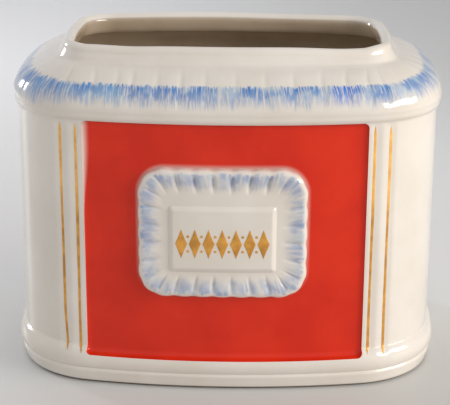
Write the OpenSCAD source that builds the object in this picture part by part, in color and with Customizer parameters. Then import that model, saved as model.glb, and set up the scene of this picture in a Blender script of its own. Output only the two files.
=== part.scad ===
// Earthenware biscuit jar: a cast pot on a bowed rectangular plan, with a moulded base,
// a gadrooned shoulder, an upright neck, reeded corners, red panels and a raised label.
// Origin at the middle of the standing face, +Z up, front towards -Y, millimetres.

/* [Plan] */
// Width of the body between the middles of its two ends
body_w = 240; // [224:1:256]
// Depth of the body between the middles of its front and back faces
body_d = 164; // [152:1:176]
// Radius of the bow of the front and back faces
face_r = 420; // [360:5:520]
// Radius of the bow of the two ends
end_r = 300; // [220:5:400]
// Radius of the upright corners
corner_r = 51; // [46:0.5:54]
// Thickness of the cast wall and shoulder
wall_t = 7; // [5.5:0.5:8.5]

/* [Foot] */
// Height of the plinth band, up to the crease under the base roll
band_h = 9.6; // [8:0.2:12]
// How far the band stands out from the wall at its lower edge
band_out_low = 0.8; // [0.2:0.1:1.4]
// How far the band stands out from the wall at its upper edge
band_out_high = 2.7; // [2:0.1:3.4]
// Height of the small slope that leads the band into the crease
band_ease = 1.2; // [0.6:0.1:2]
// Gap that the band keeps above the surface the jar stands on
band_lift = 0.8; // [0.4:0.1:1.4]
// Width of the dry ring that the jar stands on
foot_w = 8; // [6:0.5:10]
// How far the ring stands back from the wall's outer face
foot_inset = 1; // [0.5:0.25:2]
// Height of the hollow under the floor
foot_hollow = 3.4; // [2.4:0.2:5]
// Thickness of the floor
floor_t = 6.4; // [5:0.2:8]

/* [Base roll] */
// How far the base roll stands out from the wall
roll_out = 3.8; // [3:0.1:4.6]
// Height of the roll's crest above the crease
roll_crest = 5.4; // [4.6:0.1:6.4]
// Height from the crest to the line where the roll meets the wall
roll_rise = 7.5; // [6:0.1:9]

/* [Shoulder and neck] */
// Height of the wall's upper end above the standing face
wall_top = 154; // [140:0.5:165]
// Height of the small bead under the shoulder
bead_h = 4.5; // [4:0.1:6]
// How far the bead stands out from the wall
bead_out = 2.1; // [1.8:0.1:2.4]
// Radius of the bead's face
bead_r = 4.3; // [4:0.1:6]
// Height of the bead's crest above its lower edge
bead_crest = 3.1; // [2.4:0.1:3.4]
// How far the shoulder stands out from the wall
shoulder_out = 2.6; // [2.4:0.1:3.2]
// Height of the shoulder's widest line above the bead
shoulder_crest = 1.25; // [1:0.25:3]
// Height of the neck's foot above the shoulder's widest line
shoulder_rise = 21.25; // [20:0.25:24]
// Radius of the shoulder's outer edge
edge_r = 15; // [13:0.5:16]
// Angle over which the edge turns before the flatter top begins
edge_a = 55; // [50:1:60]
// How far the neck stands back from the wall
neck_inset = 26.3; // [24:0.1:28]
// Height of the neck with its lip
neck_h = 8.5; // [7:0.5:11]
// Thickness of the neck and lip
lip_t = 7.5; // [6.5:0.25:8]

/* [Gadroons] */
// Lobes that grooves part the shoulder into, all the way round
lobes = 44; // [36:4:52]
// Depth of the grooves between the lobes
groove_deep = 0.6; // [0.3:0.05:0.9]

/* [Red panels] */
// Width of each red panel
panel_w = 155; // [144:1:160]
// Height of the panel's lower edge above the base roll's crest
panel_sill = 3; // [0.5:0.25:4]
// Gap between the panel's upper edge and the wall's upper end
panel_head = 0.5; // [0.4:0.1:3]
// Radius of the panel's corners
panel_r = 3; // [2:0.25:5]
// Depth of the panel's face below the wall's face
panel_deep = 1.6; // [1:0.1:2.2]
// Thickness of the enamel that fills the bottom of the recess
enamel_t = 0.8; // [0.5:0.1:1.2]

/* [Reeds and gold lines] */
// Width of the plain fillet between a panel and its reed channel
fillet_w = 3.1; // [1.6:0.1:4]
// Width of each gold line
gold_w = 1.5; // [1.2:0.1:2]
// Width of the wide reed, between the two gold lines
wide_reed_w = 7.5; // [6:0.1:8.5]
// Width of the narrow reed, next to the plain end
slim_reed_w = 5; // [3:0.1:6]
// Depth of the reed channel
channel_deep = 0.7; // [0.5:0.1:1.2]
// How far the reeds' crests stand out from the wall
reed_out = 0.2; // [0:0.1:0.6]
// Thickness of the gilding
gold_t = 0.25; // [0.15:0.05:0.4]
// Gap that each gold line leaves at its upper and lower end
gold_stop = 1.5; // [0.5:0.5:4]

/* [Label] */
// Height of the label's middle above the standing face
label_z = 92.5; // [84:0.5:98]
// How far the label's middle lies to the right of the face's middle
label_x = -0.9; // [-2:0.1:2]
// Width of the label, without its crimps
label_w = 89.5; // [84:0.5:98]
// Height of the label, without its crimps
label_h = 70.5; // [64:0.5:76]
// Radius of the label's corners
label_r = 13; // [10:0.5:16]
// Thickness of the label's crimped border
border_t = 5.4; // [5:0.1:7]
// Height of the border's upright edge, where its curve begins
border_edge = 2.4; // [2:0.1:3.4]
// Width of the crimped border
border_w = 9; // [7:0.25:11]
// Crimps along the top and along the bottom of the label
crimps_wide = 6; // [4:1:8]
// Crimps along each side of the label
crimps_high = 4; // [3:1:6]
// Crimps round each corner of the label
crimps_corner = 2; // [1:1:3]
// How far the border stands out sideways between two crimps
crimp_out = 1.5; // [1:0.1:2.6]
// Depth of a crimp at the border's edge
crimp_deep = 1.7; // [1:0.1:2]
// Thickness of the label's flat ground
field_t = 4.2; // [3:0.1:4.8]
// Width of the tablet
tablet_w = 58.5; // [56:0.5:64]
// Height of the tablet
tablet_h = 38; // [32:0.5:42]
// How far the tablet stands out from the ground
tablet_t = 1.6; // [1:0.1:2.4]
// Width of the tablet's bevel
tablet_bevel = 1.6; // [1:0.1:2.4]
// How far the tablet's middle lies below the label's
tablet_drop = 2.5; // [0:0.5:4]

/* [Gilt ornament] */
// Lozenges in the row
lozenges = 7; // [5:1:7]
// Distance from one lozenge to the next
lozenge_pitch = 7.4; // [7:0.1:7.8]
// Width of a lozenge
lozenge_w = 6.6; // [4:0.1:7]
// Height of a lozenge
lozenge_h = 17; // [12:0.5:18]
// Radius of the small dots between the lozenges
dot_r = 0.7; // [0.4:0.05:0.9]
// How far the row sits below the tablet's middle
lozenge_drop = 2.2; // [0:0.1:6]

/* [Hidden] */
$fn = 180;

glaze = "ivory";
red = "firebrick";
gold = "goldenrod";

// The plan is eight arcs that run into each other. A corner's centre lies where a circle
// round the face's centre meets a circle round the end's centre.
face_c = [0, face_r - body_d / 2];
end_c = [body_w / 2 - end_r, 0];
face_to_corner = face_r - corner_r;
end_to_corner = end_r - corner_r;
centres = norm(end_c - face_c);
along = (centres * centres + face_to_corner * face_to_corner - end_to_corner * end_to_corner)
    / (2 * centres);
aside = sqrt(face_to_corner * face_to_corner - along * along);
way = (end_c - face_c) / centres;
corner_c = face_c + along * way + aside * [-way.y, way.x];
// Half of the angle that a face and an end each take up
face_half = atan2(corner_c.x, face_c.y - corner_c.y);
end_half = atan2(-corner_c.y, corner_c.x - end_c.x);
// Where a face's arc gives way to the corner's
face_edge = face_r * sin(face_half);
// How far a plan's corners stand proud. It is less than a glaze's unevenness, and lets every
// two neighbouring arcs cross cleanly.
corner_proud = 0.02;
// How quickly the shoulder's grooves reach their full depth from their ends
groove_runout = 6;
// Straight steps along a whole plain ring, along one lobe, along one crimp, and along each
// rounded stretch of a section
ring_steps = 96;
lobe_steps = 3;
crimp_steps = 4;
arc_steps = 6;

roll_crest_z = band_h + roll_crest;
roll_top = roll_crest_z + roll_rise;
roll_r = (roll_out * roll_out + roll_rise * roll_rise) / (2 * roll_out);

bead_top = wall_top + bead_h;
// The shoulder's edge and its flatter top are two arcs that run into each other.
edge_c = [shoulder_out - edge_r, bead_top + shoulder_crest];
neck_foot = edge_c.y + shoulder_rise;
neck_in = neck_inset + lip_t;
edge_way = [cos(edge_a), sin(edge_a)];
to_neck = [-neck_inset - edge_c.x, shoulder_rise];
flatten = (to_neck * to_neck - edge_r * edge_r) / (2 * (edge_r - to_neck * edge_way));
top_r = edge_r + flatten;
top_c = edge_c - flatten * edge_way;
lip_r = lip_t / 2;
jar_h = neck_foot + neck_h;

panel_z = roll_crest_z + panel_sill;
panel_h = wall_top - panel_head - panel_z;
channel_x = panel_w / 2 + fillet_w;
wide_reed_x = channel_x + gold_w;
outer_gold_x = wide_reed_x + wide_reed_w;
slim_reed_x = outer_gold_x + gold_w;
channel_end = slim_reed_x + slim_reed_w;
channel_h = wall_top - roll_top;
label_back = -panel_deep;
// Radius of the corners where the border meets the flat ground
field_r = max(label_r - border_w, 2);
// Share of the border's width at which it is highest
border_crest = 0.4;
field_face = label_back + field_t;
tablet_face = field_face + tablet_t;

// Depth at which the front outline, moved out by k, passes a given x
function front_y(x, k) = x <= face_edge
    ? face_c.y - sqrt(pow(face_r + k, 2) - x * x)
    : corner_c.y - sqrt(pow(corner_r + k, 2) - pow(x - corner_c.x, 2));
// Direction in which the outline faces there
function front_way(x) = x <= face_edge
    ? [x, front_y(x, 0) - face_c.y] / face_r
    : [x - corner_c.x, front_y(x, 0) - corner_c.y] / corner_r;

// Points of a section's arc at the given angles
function arc_points(centre, r, angles) = [for (a = angles) centre + r * [cos(a), sin(a)]];
// Evenly spaced angles from one to another, without the last
function turn(from, to) = [for (i = [0 : arc_steps - 1]) from + (to - from) * i / arc_steps];
function reversed(points) = [for (i = [len(points) - 1 : -1 : 0]) points[i]];

// The filled plan, moved out by k
module plan(k) {
    intersection() {
        translate(face_c) circle(face_r + k);
        translate(-face_c) circle(face_r + k);
        translate(end_c) circle(end_r + k);
        translate(-end_c) circle(end_r + k);
        corner_cut(k);
    }
    for (x = [-1, 1], y = [-1, 1])
        translate([x * corner_c.x, y * corner_c.y]) circle(corner_r + corner_proud + k);
}

// Straight cuts across the plan's corners, each between the two ends of a corner's arc
module corner_cut(k) {
    face_p = corner_c + (corner_r + k) * [sin(face_half), -cos(face_half)];
    end_p = corner_c + (corner_r + k) * [cos(end_half), -sin(end_half)];
    reach = body_w;
    polygon([
        for (q = [[1, 1], [-1, 1], [-1, -1], [1, -1]])
            let (a = [q.x * end_p.x, -q.y * end_p.y], b = [q.x * face_p.x, -q.y * face_p.y])
            each q.x * q.y > 0 ? [[q.x * reach, a.y], a, b, [b.x, q.y * reach]]
                               : [[b.x, q.y * reach], b, a, [q.x * reach, a.y]]
    ]);
}

// The arcs of the plan: centre, radius, first angle and last angle. They start in the middle
// of the front and run to the right.
arcs = [
    [face_c, face_r, -90, face_half - 90],
    [corner_c, corner_r, face_half - 90, -end_half],
    [end_c, end_r, -end_half, end_half],
    [[corner_c.x, -corner_c.y], corner_r, end_half, 90 - face_half],
    [-face_c, face_r, 90 - face_half, 90 + face_half],
    [-corner_c, corner_r, 90 + face_half, 180 - end_half],
    [-end_c, end_r, 180 - end_half, 180 + end_half],
    [[-corner_c.x, corner_c.y], corner_r, 180 + end_half, 270 - face_half],
    [face_c, face_r, 270 - face_half, 270]
];
function arc_length(arc) = arc[1] * (arc[3] - arc[2]) * PI / 180;
plan_length = 4 * (arc_length(arcs[0]) + arc_length(arcs[1])) + 2 * arc_length(arcs[2]);

// The plan's point at a length along it, and the direction outwards from it
function place_at(s, i = 0) =
    let (arc = arcs[i], rest = s - arc_length(arc))
    rest > 0 && i < len(arcs) - 1 ? place_at(rest, i + 1)
        : let (a = arc[3] + rest / arc[1] * 180 / PI, out = [cos(a), sin(a)])
            [arc[0] + arc[1] * out, out];

// Sweeps sections round the plan, in steps that take each section in turn. A section's x is
// the distance out from the wall, its y the height, and it runs up the outside and down the
// inside.
module sweep(sections, steps = ring_steps) {
    closed_loops([
        for (i = [0 : steps - 1])
            let (p = place_at(i * plan_length / steps))
            [for (q = sections[i % len(sections)]) [p[0].x + q.x * p[1].x, p[0].y + q.x * p[1].y, q.y]]
    ]);
}

// The solid between loops of points, each joined to the next and the last to the first
module closed_loops(loops) {
    n = len(loops[0]);
    polyhedron([for (loop = loops) each loop], [
        for (i = [0 : len(loops) - 1], j = [0 : n - 1])
            let (here = i * n, next = (i + 1) % len(loops) * n, up = (j + 1) % n)
            [here + j, here + up, next + up, next + j]
    ], convexity = 6);
}

// An upright ring of the plan's shape, between two distances from the wall's face
module ring(outer, inner, low, high) {
    translate([0, 0, low]) linear_extrude(high - low) difference() {
        plan(outer);
        plan(inner);
    }
}

// What lies behind a flat shape on the front face, between two distances from the wall
module on_face(outer, inner) {
    intersection() {
        rotate([90, 0, 0]) linear_extrude(body_d) children();
        linear_extrude(jar_h) difference() {
            plan(outer);
            plan(inner);
        }
    }
}

// The front face's upright strip from one x to the next, between two distances
module strip(x_from, x_to, outer, inner, low, high) {
    translate([0, 0, low]) linear_extrude(high - low) difference() {
        intersection() {
            plan(outer);
            translate([x_from, -body_d]) square([x_to - x_from, body_d]);
        }
        plan(inner);
    }
}

module rounded(w, h, r) {
    square([w - 2 * r, h], center = true);
    square([w, h - 2 * r], center = true);
    for (x = [-1, 1], y = [-1, 1])
        translate([x * (w / 2 - r), y * (h / 2 - r)]) circle(r);
}

module turned(back, left) {
    mirror([0, back, 0]) mirror([left, 0, 0]) children();
}

// Foot

module foot_ring() {
    color("tan") ring(-foot_inset, -foot_inset - foot_w, 0, band_lift);
}

module jar_floor() {
    color(glaze) translate([0, 0, foot_hollow]) linear_extrude(floor_t) plan(-wall_t);
}

module foot_band() {
    color(glaze) sweep([[
        [-wall_t, band_lift], [band_out_low, band_lift],
        [band_out_high, band_h - band_ease], [band_out_high - band_ease / 2, band_h],
        [-wall_t, band_h]
    ]]);
}

module base_roll() {
    angles = [each turn(-asin(roll_crest / roll_r), 0), each turn(0, asin(roll_rise / roll_r))];
    color(glaze) difference() {
        sweep([[
            [0, band_h], each arc_points([roll_out - roll_r, roll_crest_z], roll_r, angles),
            [0, roll_top]
        ]]);
        for (back = [0, 1]) turned(back, 0) panel_recess(2 * roll_out);
    }
}

// Body

// The recess of a panel, from its bottom out to a distance beyond the wall
module panel_recess(reach) {
    on_face(reach, -panel_deep - enamel_t) panel_outline();
}

module panel_outline() {
    translate([0, panel_z + panel_h / 2]) rounded(panel_w, panel_h, panel_r);
}

module jar_wall() {
    color(glaze) difference() {
        ring(0, -wall_t, band_h, wall_top);
        for (back = [0, 1]) {
            turned(back, 0) panel_recess(1);
            for (left = [0, 1]) turned(back, left)
                strip(channel_x, channel_end, 1, -channel_deep, roll_top, wall_top + 1);
        }
    }
}

// A reed: an upright rod sunk in the wall until only its crown shows in the channel
module reed(x, w) {
    crown = channel_deep + reed_out;
    r = (w * w / 4 + crown * crown) / (2 * crown);
    middle = x + w / 2;
    spot = [middle, front_y(middle, 0)] + (reed_out - r) * front_way(middle);
    translate([0, 0, roll_top]) linear_extrude(channel_h) difference() {
        translate(spot) circle(r);
        plan(-channel_deep);
    }
}

module reeds() {
    color(glaze) {
        reed(wide_reed_x, wide_reed_w);
        reed(slim_reed_x, slim_reed_w);
    }
}

module gilt_lines() {
    color(gold) for (x = [channel_x, outer_gold_x])
        strip(x, x + gold_w, gold_t - channel_deep, -channel_deep,
            roll_top + gold_stop, wall_top - gold_stop);
}

module red_panel() {
    color(red) on_face(-panel_deep, -panel_deep - enamel_t) panel_outline();
}

// Shoulder and neck

module shoulder_bead() {
    high = asin((bead_h - bead_crest) / bead_r);
    angles = [each turn(-asin(bead_crest / bead_r), 0), each turn(0, high), high];
    color(glaze) sweep([[
        [-wall_t, wall_top],
        each arc_points([bead_out - bead_r, wall_top + bead_crest], bead_r, angles),
        shoulder_curve(wall_t, -neck_in)[0]
    ]]);
}

// The shoulder's curve moved in by t, from the bead up to the given distance from the wall
function shoulder_curve(t, end) =
    let (top_a = acos((end - top_c.x) / (top_r - t)))
    [each arc_points(edge_c, edge_r - t, [-asin(shoulder_crest / (edge_r - t)), each turn(0, edge_a)]),
     each arc_points(top_c, top_r - t, [each turn(edge_a, top_a), top_a])];

// The shoulder's section, with its outside sunk by a groove's depth between its two ends
function shoulder_section(sunk) =
    let (outer = shoulder_curve(0, -neck_inset), inner = shoulder_curve(wall_t, -neck_in),
         last = len(outer) - 1)
    [for (j = [0 : last]) outer[j] + sunk * groove_share(j / last) * (inner[j] - outer[j]) / wall_t,
     [-neck_in, neck_foot], each reversed(inner)];

// How much of its depth a groove has at a share of the way from the bead to the neck: it runs
// out at both ends and is full in between
function groove_share(share) = min(1, groove_runout * share * (1 - share));

module shoulder_dome() {
    color(glaze) sweep([shoulder_section(groove_deep),
        for (i = [2 : lobe_steps]) shoulder_section(0)], lobes * lobe_steps);
}

module neck_collar() {
    color(glaze) ring(-neck_inset, -neck_in, neck_foot, jar_h - lip_r);
}

module rim_lip() {
    color(glaze) sweep([
        arc_points([-neck_inset - lip_r, jar_h - lip_r], lip_r, [each turn(0, 180), 180])]);
}

// Label

// Places round a rounded rectangle, whatever its size: along each side and round each corner,
// in the steps that each crimp is divided into, starting with the lower side
function frame_places(w, h, r) =
    let (a = w / 2 - r, b = h / 2 - r, wide = crimps_wide * crimp_steps,
         high = crimps_high * crimp_steps)
    [each side_places([-a, -h / 2], [a, -h / 2], wide), each turn_places([a, -b], r, -90),
     each side_places([w / 2, -b], [w / 2, b], high), each turn_places([a, b], r, 0),
     each side_places([a, h / 2], [-a, h / 2], wide), each turn_places([-a, b], r, 90),
     each side_places([-w / 2, b], [-w / 2, -b], high), each turn_places([-a, -b], r, 180)];

function side_places(from, to, steps) = [for (i = [0 : steps - 1]) from + (to - from) * i / steps];

function turn_places(centre, r, from) =
    let (steps = crimps_corner * crimp_steps)
    arc_points(centre, r, [for (i = [0 : steps - 1]) from + 90 * i / steps]);

// The border's section, as shares of the way in from its edge and heights above the ground:
// up the edge, over a quarter round, and down to the label's flat ground. A crimp sinks it,
// most at the edge.
function border_section(crimp) = [
    [0, 0],
    for (i = [0 : arc_steps])
        let (a = 90 * i / arc_steps, way = border_crest * (1 - cos(a)))
        [way, border_edge + (border_t - border_edge) * sin(a) - crimp * (1 - way)],
    for (i = [1 : arc_steps])
        let (fall = i / arc_steps, way = border_crest + (1 - border_crest) * fall)
        [way, border_t - (border_t - field_t) * pow(sin(90 * fall), 2) - crimp * (1 - way)],
    [1, 0]
];

module label_place() {
    translate([label_x, label_z]) children();
}

module tablet_place() {
    label_place() translate([0, -tablet_drop]) children();
}

// How deep a crimp is at each of its steps, from the crest between two crimps to the next one
function crimp_at(i) = pow(sin(180 * (i % crimp_steps) / crimp_steps), 2);

module label_border() {
    outer = frame_places(label_w, label_h, label_r);
    crest = frame_places(label_w + 2 * crimp_out, label_h + 2 * crimp_out, label_r + crimp_out);
    inner = frame_places(label_w - 2 * border_w, label_h - 2 * border_w, field_r);
    color(glaze) closed_loops([
        for (i = [0 : len(outer) - 1])
            let (edge = crest[i] + crimp_at(i) * (outer[i] - crest[i]))
            [for (q = border_section(crimp_deep * crimp_at(i)))
                let (flat = edge + q.x * (inner[i] - edge))
                [label_x + flat.x, front_y(abs(label_x + flat.x), label_back + q.y), label_z + flat.y]]
    ]);
}

module label_field() {
    color(glaze) on_face(field_face, label_back) label_place()
        rounded(label_w - 2 * border_w, label_h - 2 * border_w, field_r);
}

module label_tablet() {
    color(glaze) {
        on_face(field_face + tablet_t / 2, field_face) tablet_place()
            square([tablet_w, tablet_h], center = true);
        on_face(tablet_face, field_face + tablet_t / 2) tablet_place()
            square([tablet_w - 2 * tablet_bevel, tablet_h - 2 * tablet_bevel], center = true);
    }
}

module label_ornament() {
    row = (lozenges - 1) * lozenge_pitch;
    color(gold) on_face(tablet_face + gold_t, tablet_face) tablet_place()
        translate([-row / 2, -lozenge_drop]) {
            for (i = [0 : lozenges - 1]) translate([i * lozenge_pitch, 0])
                polygon([[-lozenge_w / 2, 0], [0, -lozenge_h / 2],
                    [lozenge_w / 2, 0], [0, lozenge_h / 2]]);
            for (i = [1 : lozenges - 1], end = [-1, 1])
                translate([(i - 0.5) * lozenge_pitch, end * lozenge_h / 4]) circle(dot_r);
        }
}

foot_ring();
jar_floor();
foot_band();
base_roll();
jar_wall();
turned(0, 1) reeds();  // front_left_reeds
turned(0, 0) reeds();  // front_right_reeds
turned(1, 1) reeds();  // back_left_reeds
turned(1, 0) reeds();  // back_right_reeds
turned(0, 0) red_panel();  // front_red_panel
turned(1, 0) red_panel();  // back_red_panel
shoulder_bead();
shoulder_dome();
neck_collar();
rim_lip();
label_border();
label_field();
label_tablet();
label_ornament();
turned(0, 1) gilt_lines();  // front_left_gilt_lines
turned(0, 0) gilt_lines();  // front_right_gilt_lines
turned(1, 1) gilt_lines();  // back_left_gilt_lines
turned(1, 0) gilt_lines();  // back_right_gilt_lines
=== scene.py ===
# %% [markdown]
# # A glazed biscuit jar
# The jar is one cast of white clay, dressed by hand: a rolled shoulder with soft lobes and a
# blue feathered edge, an upright neck, two red panels in shallow recesses, reeds with gold
# lines beside them, and a crimped label. It could be sculpted as one lump, but its mouldings
# would never run as evenly. Here every piece is a mesh worked out in code along one plan curve,
# and the mouldings are cut from one upright curve, so that each meets the next one exactly.

# %% Load the frame
import math

import bpy
import numpy as np
from mathutils import Matrix


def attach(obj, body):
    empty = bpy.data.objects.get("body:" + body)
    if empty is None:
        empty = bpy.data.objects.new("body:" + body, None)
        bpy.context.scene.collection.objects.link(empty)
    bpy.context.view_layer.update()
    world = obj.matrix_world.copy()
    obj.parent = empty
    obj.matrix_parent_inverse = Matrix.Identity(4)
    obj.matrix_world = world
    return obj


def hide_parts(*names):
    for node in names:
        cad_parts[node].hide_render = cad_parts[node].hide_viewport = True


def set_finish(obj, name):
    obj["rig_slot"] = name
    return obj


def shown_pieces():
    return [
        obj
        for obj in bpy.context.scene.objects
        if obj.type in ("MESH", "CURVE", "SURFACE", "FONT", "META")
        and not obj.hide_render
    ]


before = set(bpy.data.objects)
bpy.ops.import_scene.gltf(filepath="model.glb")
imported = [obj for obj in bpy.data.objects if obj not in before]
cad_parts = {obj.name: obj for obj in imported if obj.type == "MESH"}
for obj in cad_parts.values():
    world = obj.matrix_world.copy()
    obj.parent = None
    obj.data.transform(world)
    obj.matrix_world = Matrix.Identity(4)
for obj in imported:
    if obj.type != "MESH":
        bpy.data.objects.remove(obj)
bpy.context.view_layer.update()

MM = 0.001
RIGHT_ANGLE = math.pi / 2

# %% [markdown]
# ## Camera
# The jar is seen from a little above with a long lens, so its upright edges lean together only
# slightly. A Track To constraint could aim the camera, but this one also rolls a little, so it
# is placed by turns and moves: each is one matrix, and their product is the camera's place. The
# camera comes first, because everything else is judged through it.

# %% Camera
LENS_MM = 114.4
CAMERA_DISTANCE = 0.8173
CAMERA_HEIGHT = 0.3497
CAMERA_TURN = math.radians(1.25)
CAMERA_DIP = math.radians(18.02)
CAMERA_ROLL = math.radians(0.28)
CAMERA_SIDE = -0.0014  # distances in metres


def place_camera():
    """The camera is rolled, dipped, moved back and up from the jar's foot, and swung round it."""
    lens = bpy.data.cameras.new("camera")
    lens.lens = LENS_MM
    lens.sensor_width = 36
    camera = bpy.data.objects.new("camera", lens)
    swing = Matrix.Rotation(CAMERA_TURN, 4, "Z")
    place = Matrix.Translation((CAMERA_SIDE, -CAMERA_DISTANCE, CAMERA_HEIGHT))
    dip = Matrix.Rotation(RIGHT_ANGLE - CAMERA_DIP, 4, "X")
    camera.matrix_world = swing @ place @ dip @ Matrix.Rotation(CAMERA_ROLL, 4, "Z")
    bpy.context.scene.collection.objects.link(camera)
    bpy.context.scene.camera = camera
    return camera


camera = place_camera()
print("camera at", tuple(round(v, 3) for v in camera.matrix_world.translation))

# %% [markdown]
# ## The plan
# Seen from above, the jar is a rectangle with bowed sides and round corners: eight arcs that run
# into each other. A Bezier curve could follow it by eye, but arcs can be measured: a length along
# them gives a point and a way out, exactly. A place on the jar is then two numbers, the way along
# this curve and the height, plus a distance out from the wall. A corner's centre lies where a
# circle round the face's centre meets a circle round the end's centre.

# %% Plan values
FACE_R, END_R, CORNER_R = 0.420, 0.300, 0.051
HALF_W, HALF_D = 0.120, 0.082
WALL_T = 7.0


def corner_centre():
    face_y, end_x = FACE_R - HALF_D, HALF_W - END_R
    a, b = FACE_R - CORNER_R, END_R - CORNER_R
    apart = math.hypot(end_x, face_y)
    along = (apart ** 2 + a ** 2 - b ** 2) / (2 * apart)
    aside = math.sqrt(a ** 2 - along ** 2)
    way = np.array([end_x, -face_y]) / apart
    return np.array([0, face_y]) + along * way + aside * np.array([-way[1], way[0]])


CORNER = corner_centre()
FACE_HALF = math.atan2(CORNER[0], FACE_R - HALF_D - CORNER[1])
END_HALF = math.atan2(-CORNER[1], CORNER[0] - HALF_W + END_R)
FACE_EDGE = FACE_R * math.sin(FACE_HALF)
print("corner centre (mm):", (CORNER / MM).round(2), "face edge:", round(FACE_EDGE / MM, 2))

# %% The plan as one curve
# Each arc: centre x, centre y, radius, first angle, last angle. It starts in the middle of the
# front and runs to the right.
cx, cy = CORNER
ARCS = [
    (0, FACE_R - HALF_D, FACE_R, -RIGHT_ANGLE, FACE_HALF - RIGHT_ANGLE),
    (cx, cy, CORNER_R, FACE_HALF - RIGHT_ANGLE, -END_HALF),
    (HALF_W - END_R, 0, END_R, -END_HALF, END_HALF),
    (cx, -cy, CORNER_R, END_HALF, RIGHT_ANGLE - FACE_HALF),
    (0, HALF_D - FACE_R, FACE_R, RIGHT_ANGLE - FACE_HALF, RIGHT_ANGLE + FACE_HALF),
    (-cx, -cy, CORNER_R, RIGHT_ANGLE + FACE_HALF, 2 * RIGHT_ANGLE - END_HALF),
    (END_R - HALF_W, 0, END_R, 2 * RIGHT_ANGLE - END_HALF, 2 * RIGHT_ANGLE + END_HALF),
    (-cx, cy, CORNER_R, 2 * RIGHT_ANGLE + END_HALF, 3 * RIGHT_ANGLE - FACE_HALF),
    (0, FACE_R - HALF_D, FACE_R, 3 * RIGHT_ANGLE - FACE_HALF, 3 * RIGHT_ANGLE),
]
STARTS = np.cumsum([0] + [r * (b - a) for _, _, r, a, b in ARCS])
ROUND = STARTS[-1]
print("length round the wall (mm):", round(ROUND / MM, 1))


def arc_at(along):
    """The length along the plan, brought into one round, and the number of the arc it is on."""
    s = np.mod(np.atleast_1d(along), ROUND)
    return s, np.clip(np.searchsorted(STARTS, s, side="right") - 1, 0, len(ARCS) - 1)


def outline(along):
    """The plan's points and outward directions at the given lengths along it."""
    s, arc = arc_at(along)
    x, y, r, first = np.array([a[:4] for a in ARCS]).T[:, arc]
    angle = first + (s - STARTS[arc]) / r
    out = np.stack([np.cos(angle), np.sin(angle)], axis=1)
    return np.stack([x, y], axis=1) + r[:, None] * out, out


def along_front(x):
    """The length along the plan in mm at which the front reaches x, for x of 0 or more in mm."""
    x = x * MM
    if x <= FACE_EDGE:
        return FACE_R * math.asin(x / FACE_R) / MM
    return (FACE_R * FACE_HALF + CORNER_R * (math.asin((x - cx) / CORNER_R) - FACE_HALF)) / MM


def way_from(place, along):
    """How far along lies past a place, the shorter way round."""
    return np.mod(along - place + ROUND / 2, ROUND) - ROUND / 2


def from_middle(along):
    """How far a place lies from the middle of its own face, front or back, in mm."""
    s = np.mod(along, ROUND / 2)
    return np.minimum(s, ROUND / 2 - s) / MM


# %% [markdown]
# ## The mouth's corners
# The neck was trimmed and smoothed by hand, so its mouth isn't a plain copy of the plan: the two
# front corners are tighter than the back ones. A lattice could pull them about, but pieces that
# meet might then part. So the pull belongs to the plan itself. A corner gets tighter when its
# centre moves out and its radius shrinks by as much; the sides between two corners stretch to
# meet them.

# %% Tighter corners towards the mouth
TIGHTER = {1: 5 * MM, 3: -1.5 * MM, 5: -1.5 * MM, 7: 5 * MM}  # by arc: front right, then round
PULL_FROM, PULL_TO = 8 * MM, 26 * MM
ABOVE_WALL = 0.15


def smooth_step(low, high, value):
    t = np.clip((value - low) / (high - low), 0, 1)
    return t * t * (3 - 2 * t)


def corner_pull(along):
    """How far the mouth's outline lies from the plain plan's, as flat vectors."""
    s, arc = arc_at(along)
    way = outline(s)[1]
    tangent = np.stack([-way[:, 1], way[:, 0]], 1)
    slide = math.tan((RIGHT_ANGLE - FACE_HALF - END_HALF) / 2)
    knots, slides = [], []
    for i, amount in TIGHTER.items():
        knots += [STARTS[i], STARTS[i + 1]]
        slides += [amount * slide, -amount * slide]
    knots = [knots[-1] - ROUND] + knots + [knots[0] + ROUND]
    slides = [slides[-1]] + slides + [slides[0]]
    pull = tangent * np.interp(s, knots, slides)[:, None]
    for i, amount in TIGHTER.items():
        first, last = (np.array([math.cos(a), math.sin(a)]) for a in ARCS[i][3:])
        centre = amount * (first + last) / (1 + first @ last)
        pull[arc == i] = centre - amount * way[arc == i]
    return pull


print("largest pull at the mouth (mm):", round(float(np.abs(corner_pull(STARTS[1:-1])).max() / MM), 2))


# %% From the plan into space
def in_space(along, out, height):
    """Points in space, in metres: lengths along the plan, distances out and heights."""
    along, out, height = np.broadcast_arrays(along, out, height)
    shape = along.shape
    along, out, height = along.ravel(), out.ravel(), height.ravel()
    spot, way = outline(along)
    share = smooth_step(PULL_FROM, PULL_TO, -out) * (height > ABOVE_WALL)
    flat = spot + way * out[:, None] + corner_pull(along) * share[:, None]
    return np.column_stack([flat, height]).reshape(shape + (3,))


# %% [markdown]
# ## The upright curve
# One curve runs up the outside of the jar and down its inside: band, crease, half-round, wall,
# bead, shoulder, neck and lip. A Bevel modifier could round the edges of a sharp model, but thick
# glaze also fills every inner corner. So the sharp curve of the clay is smoothed along its
# length, which does both, before pieces are cut from it.

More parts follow.
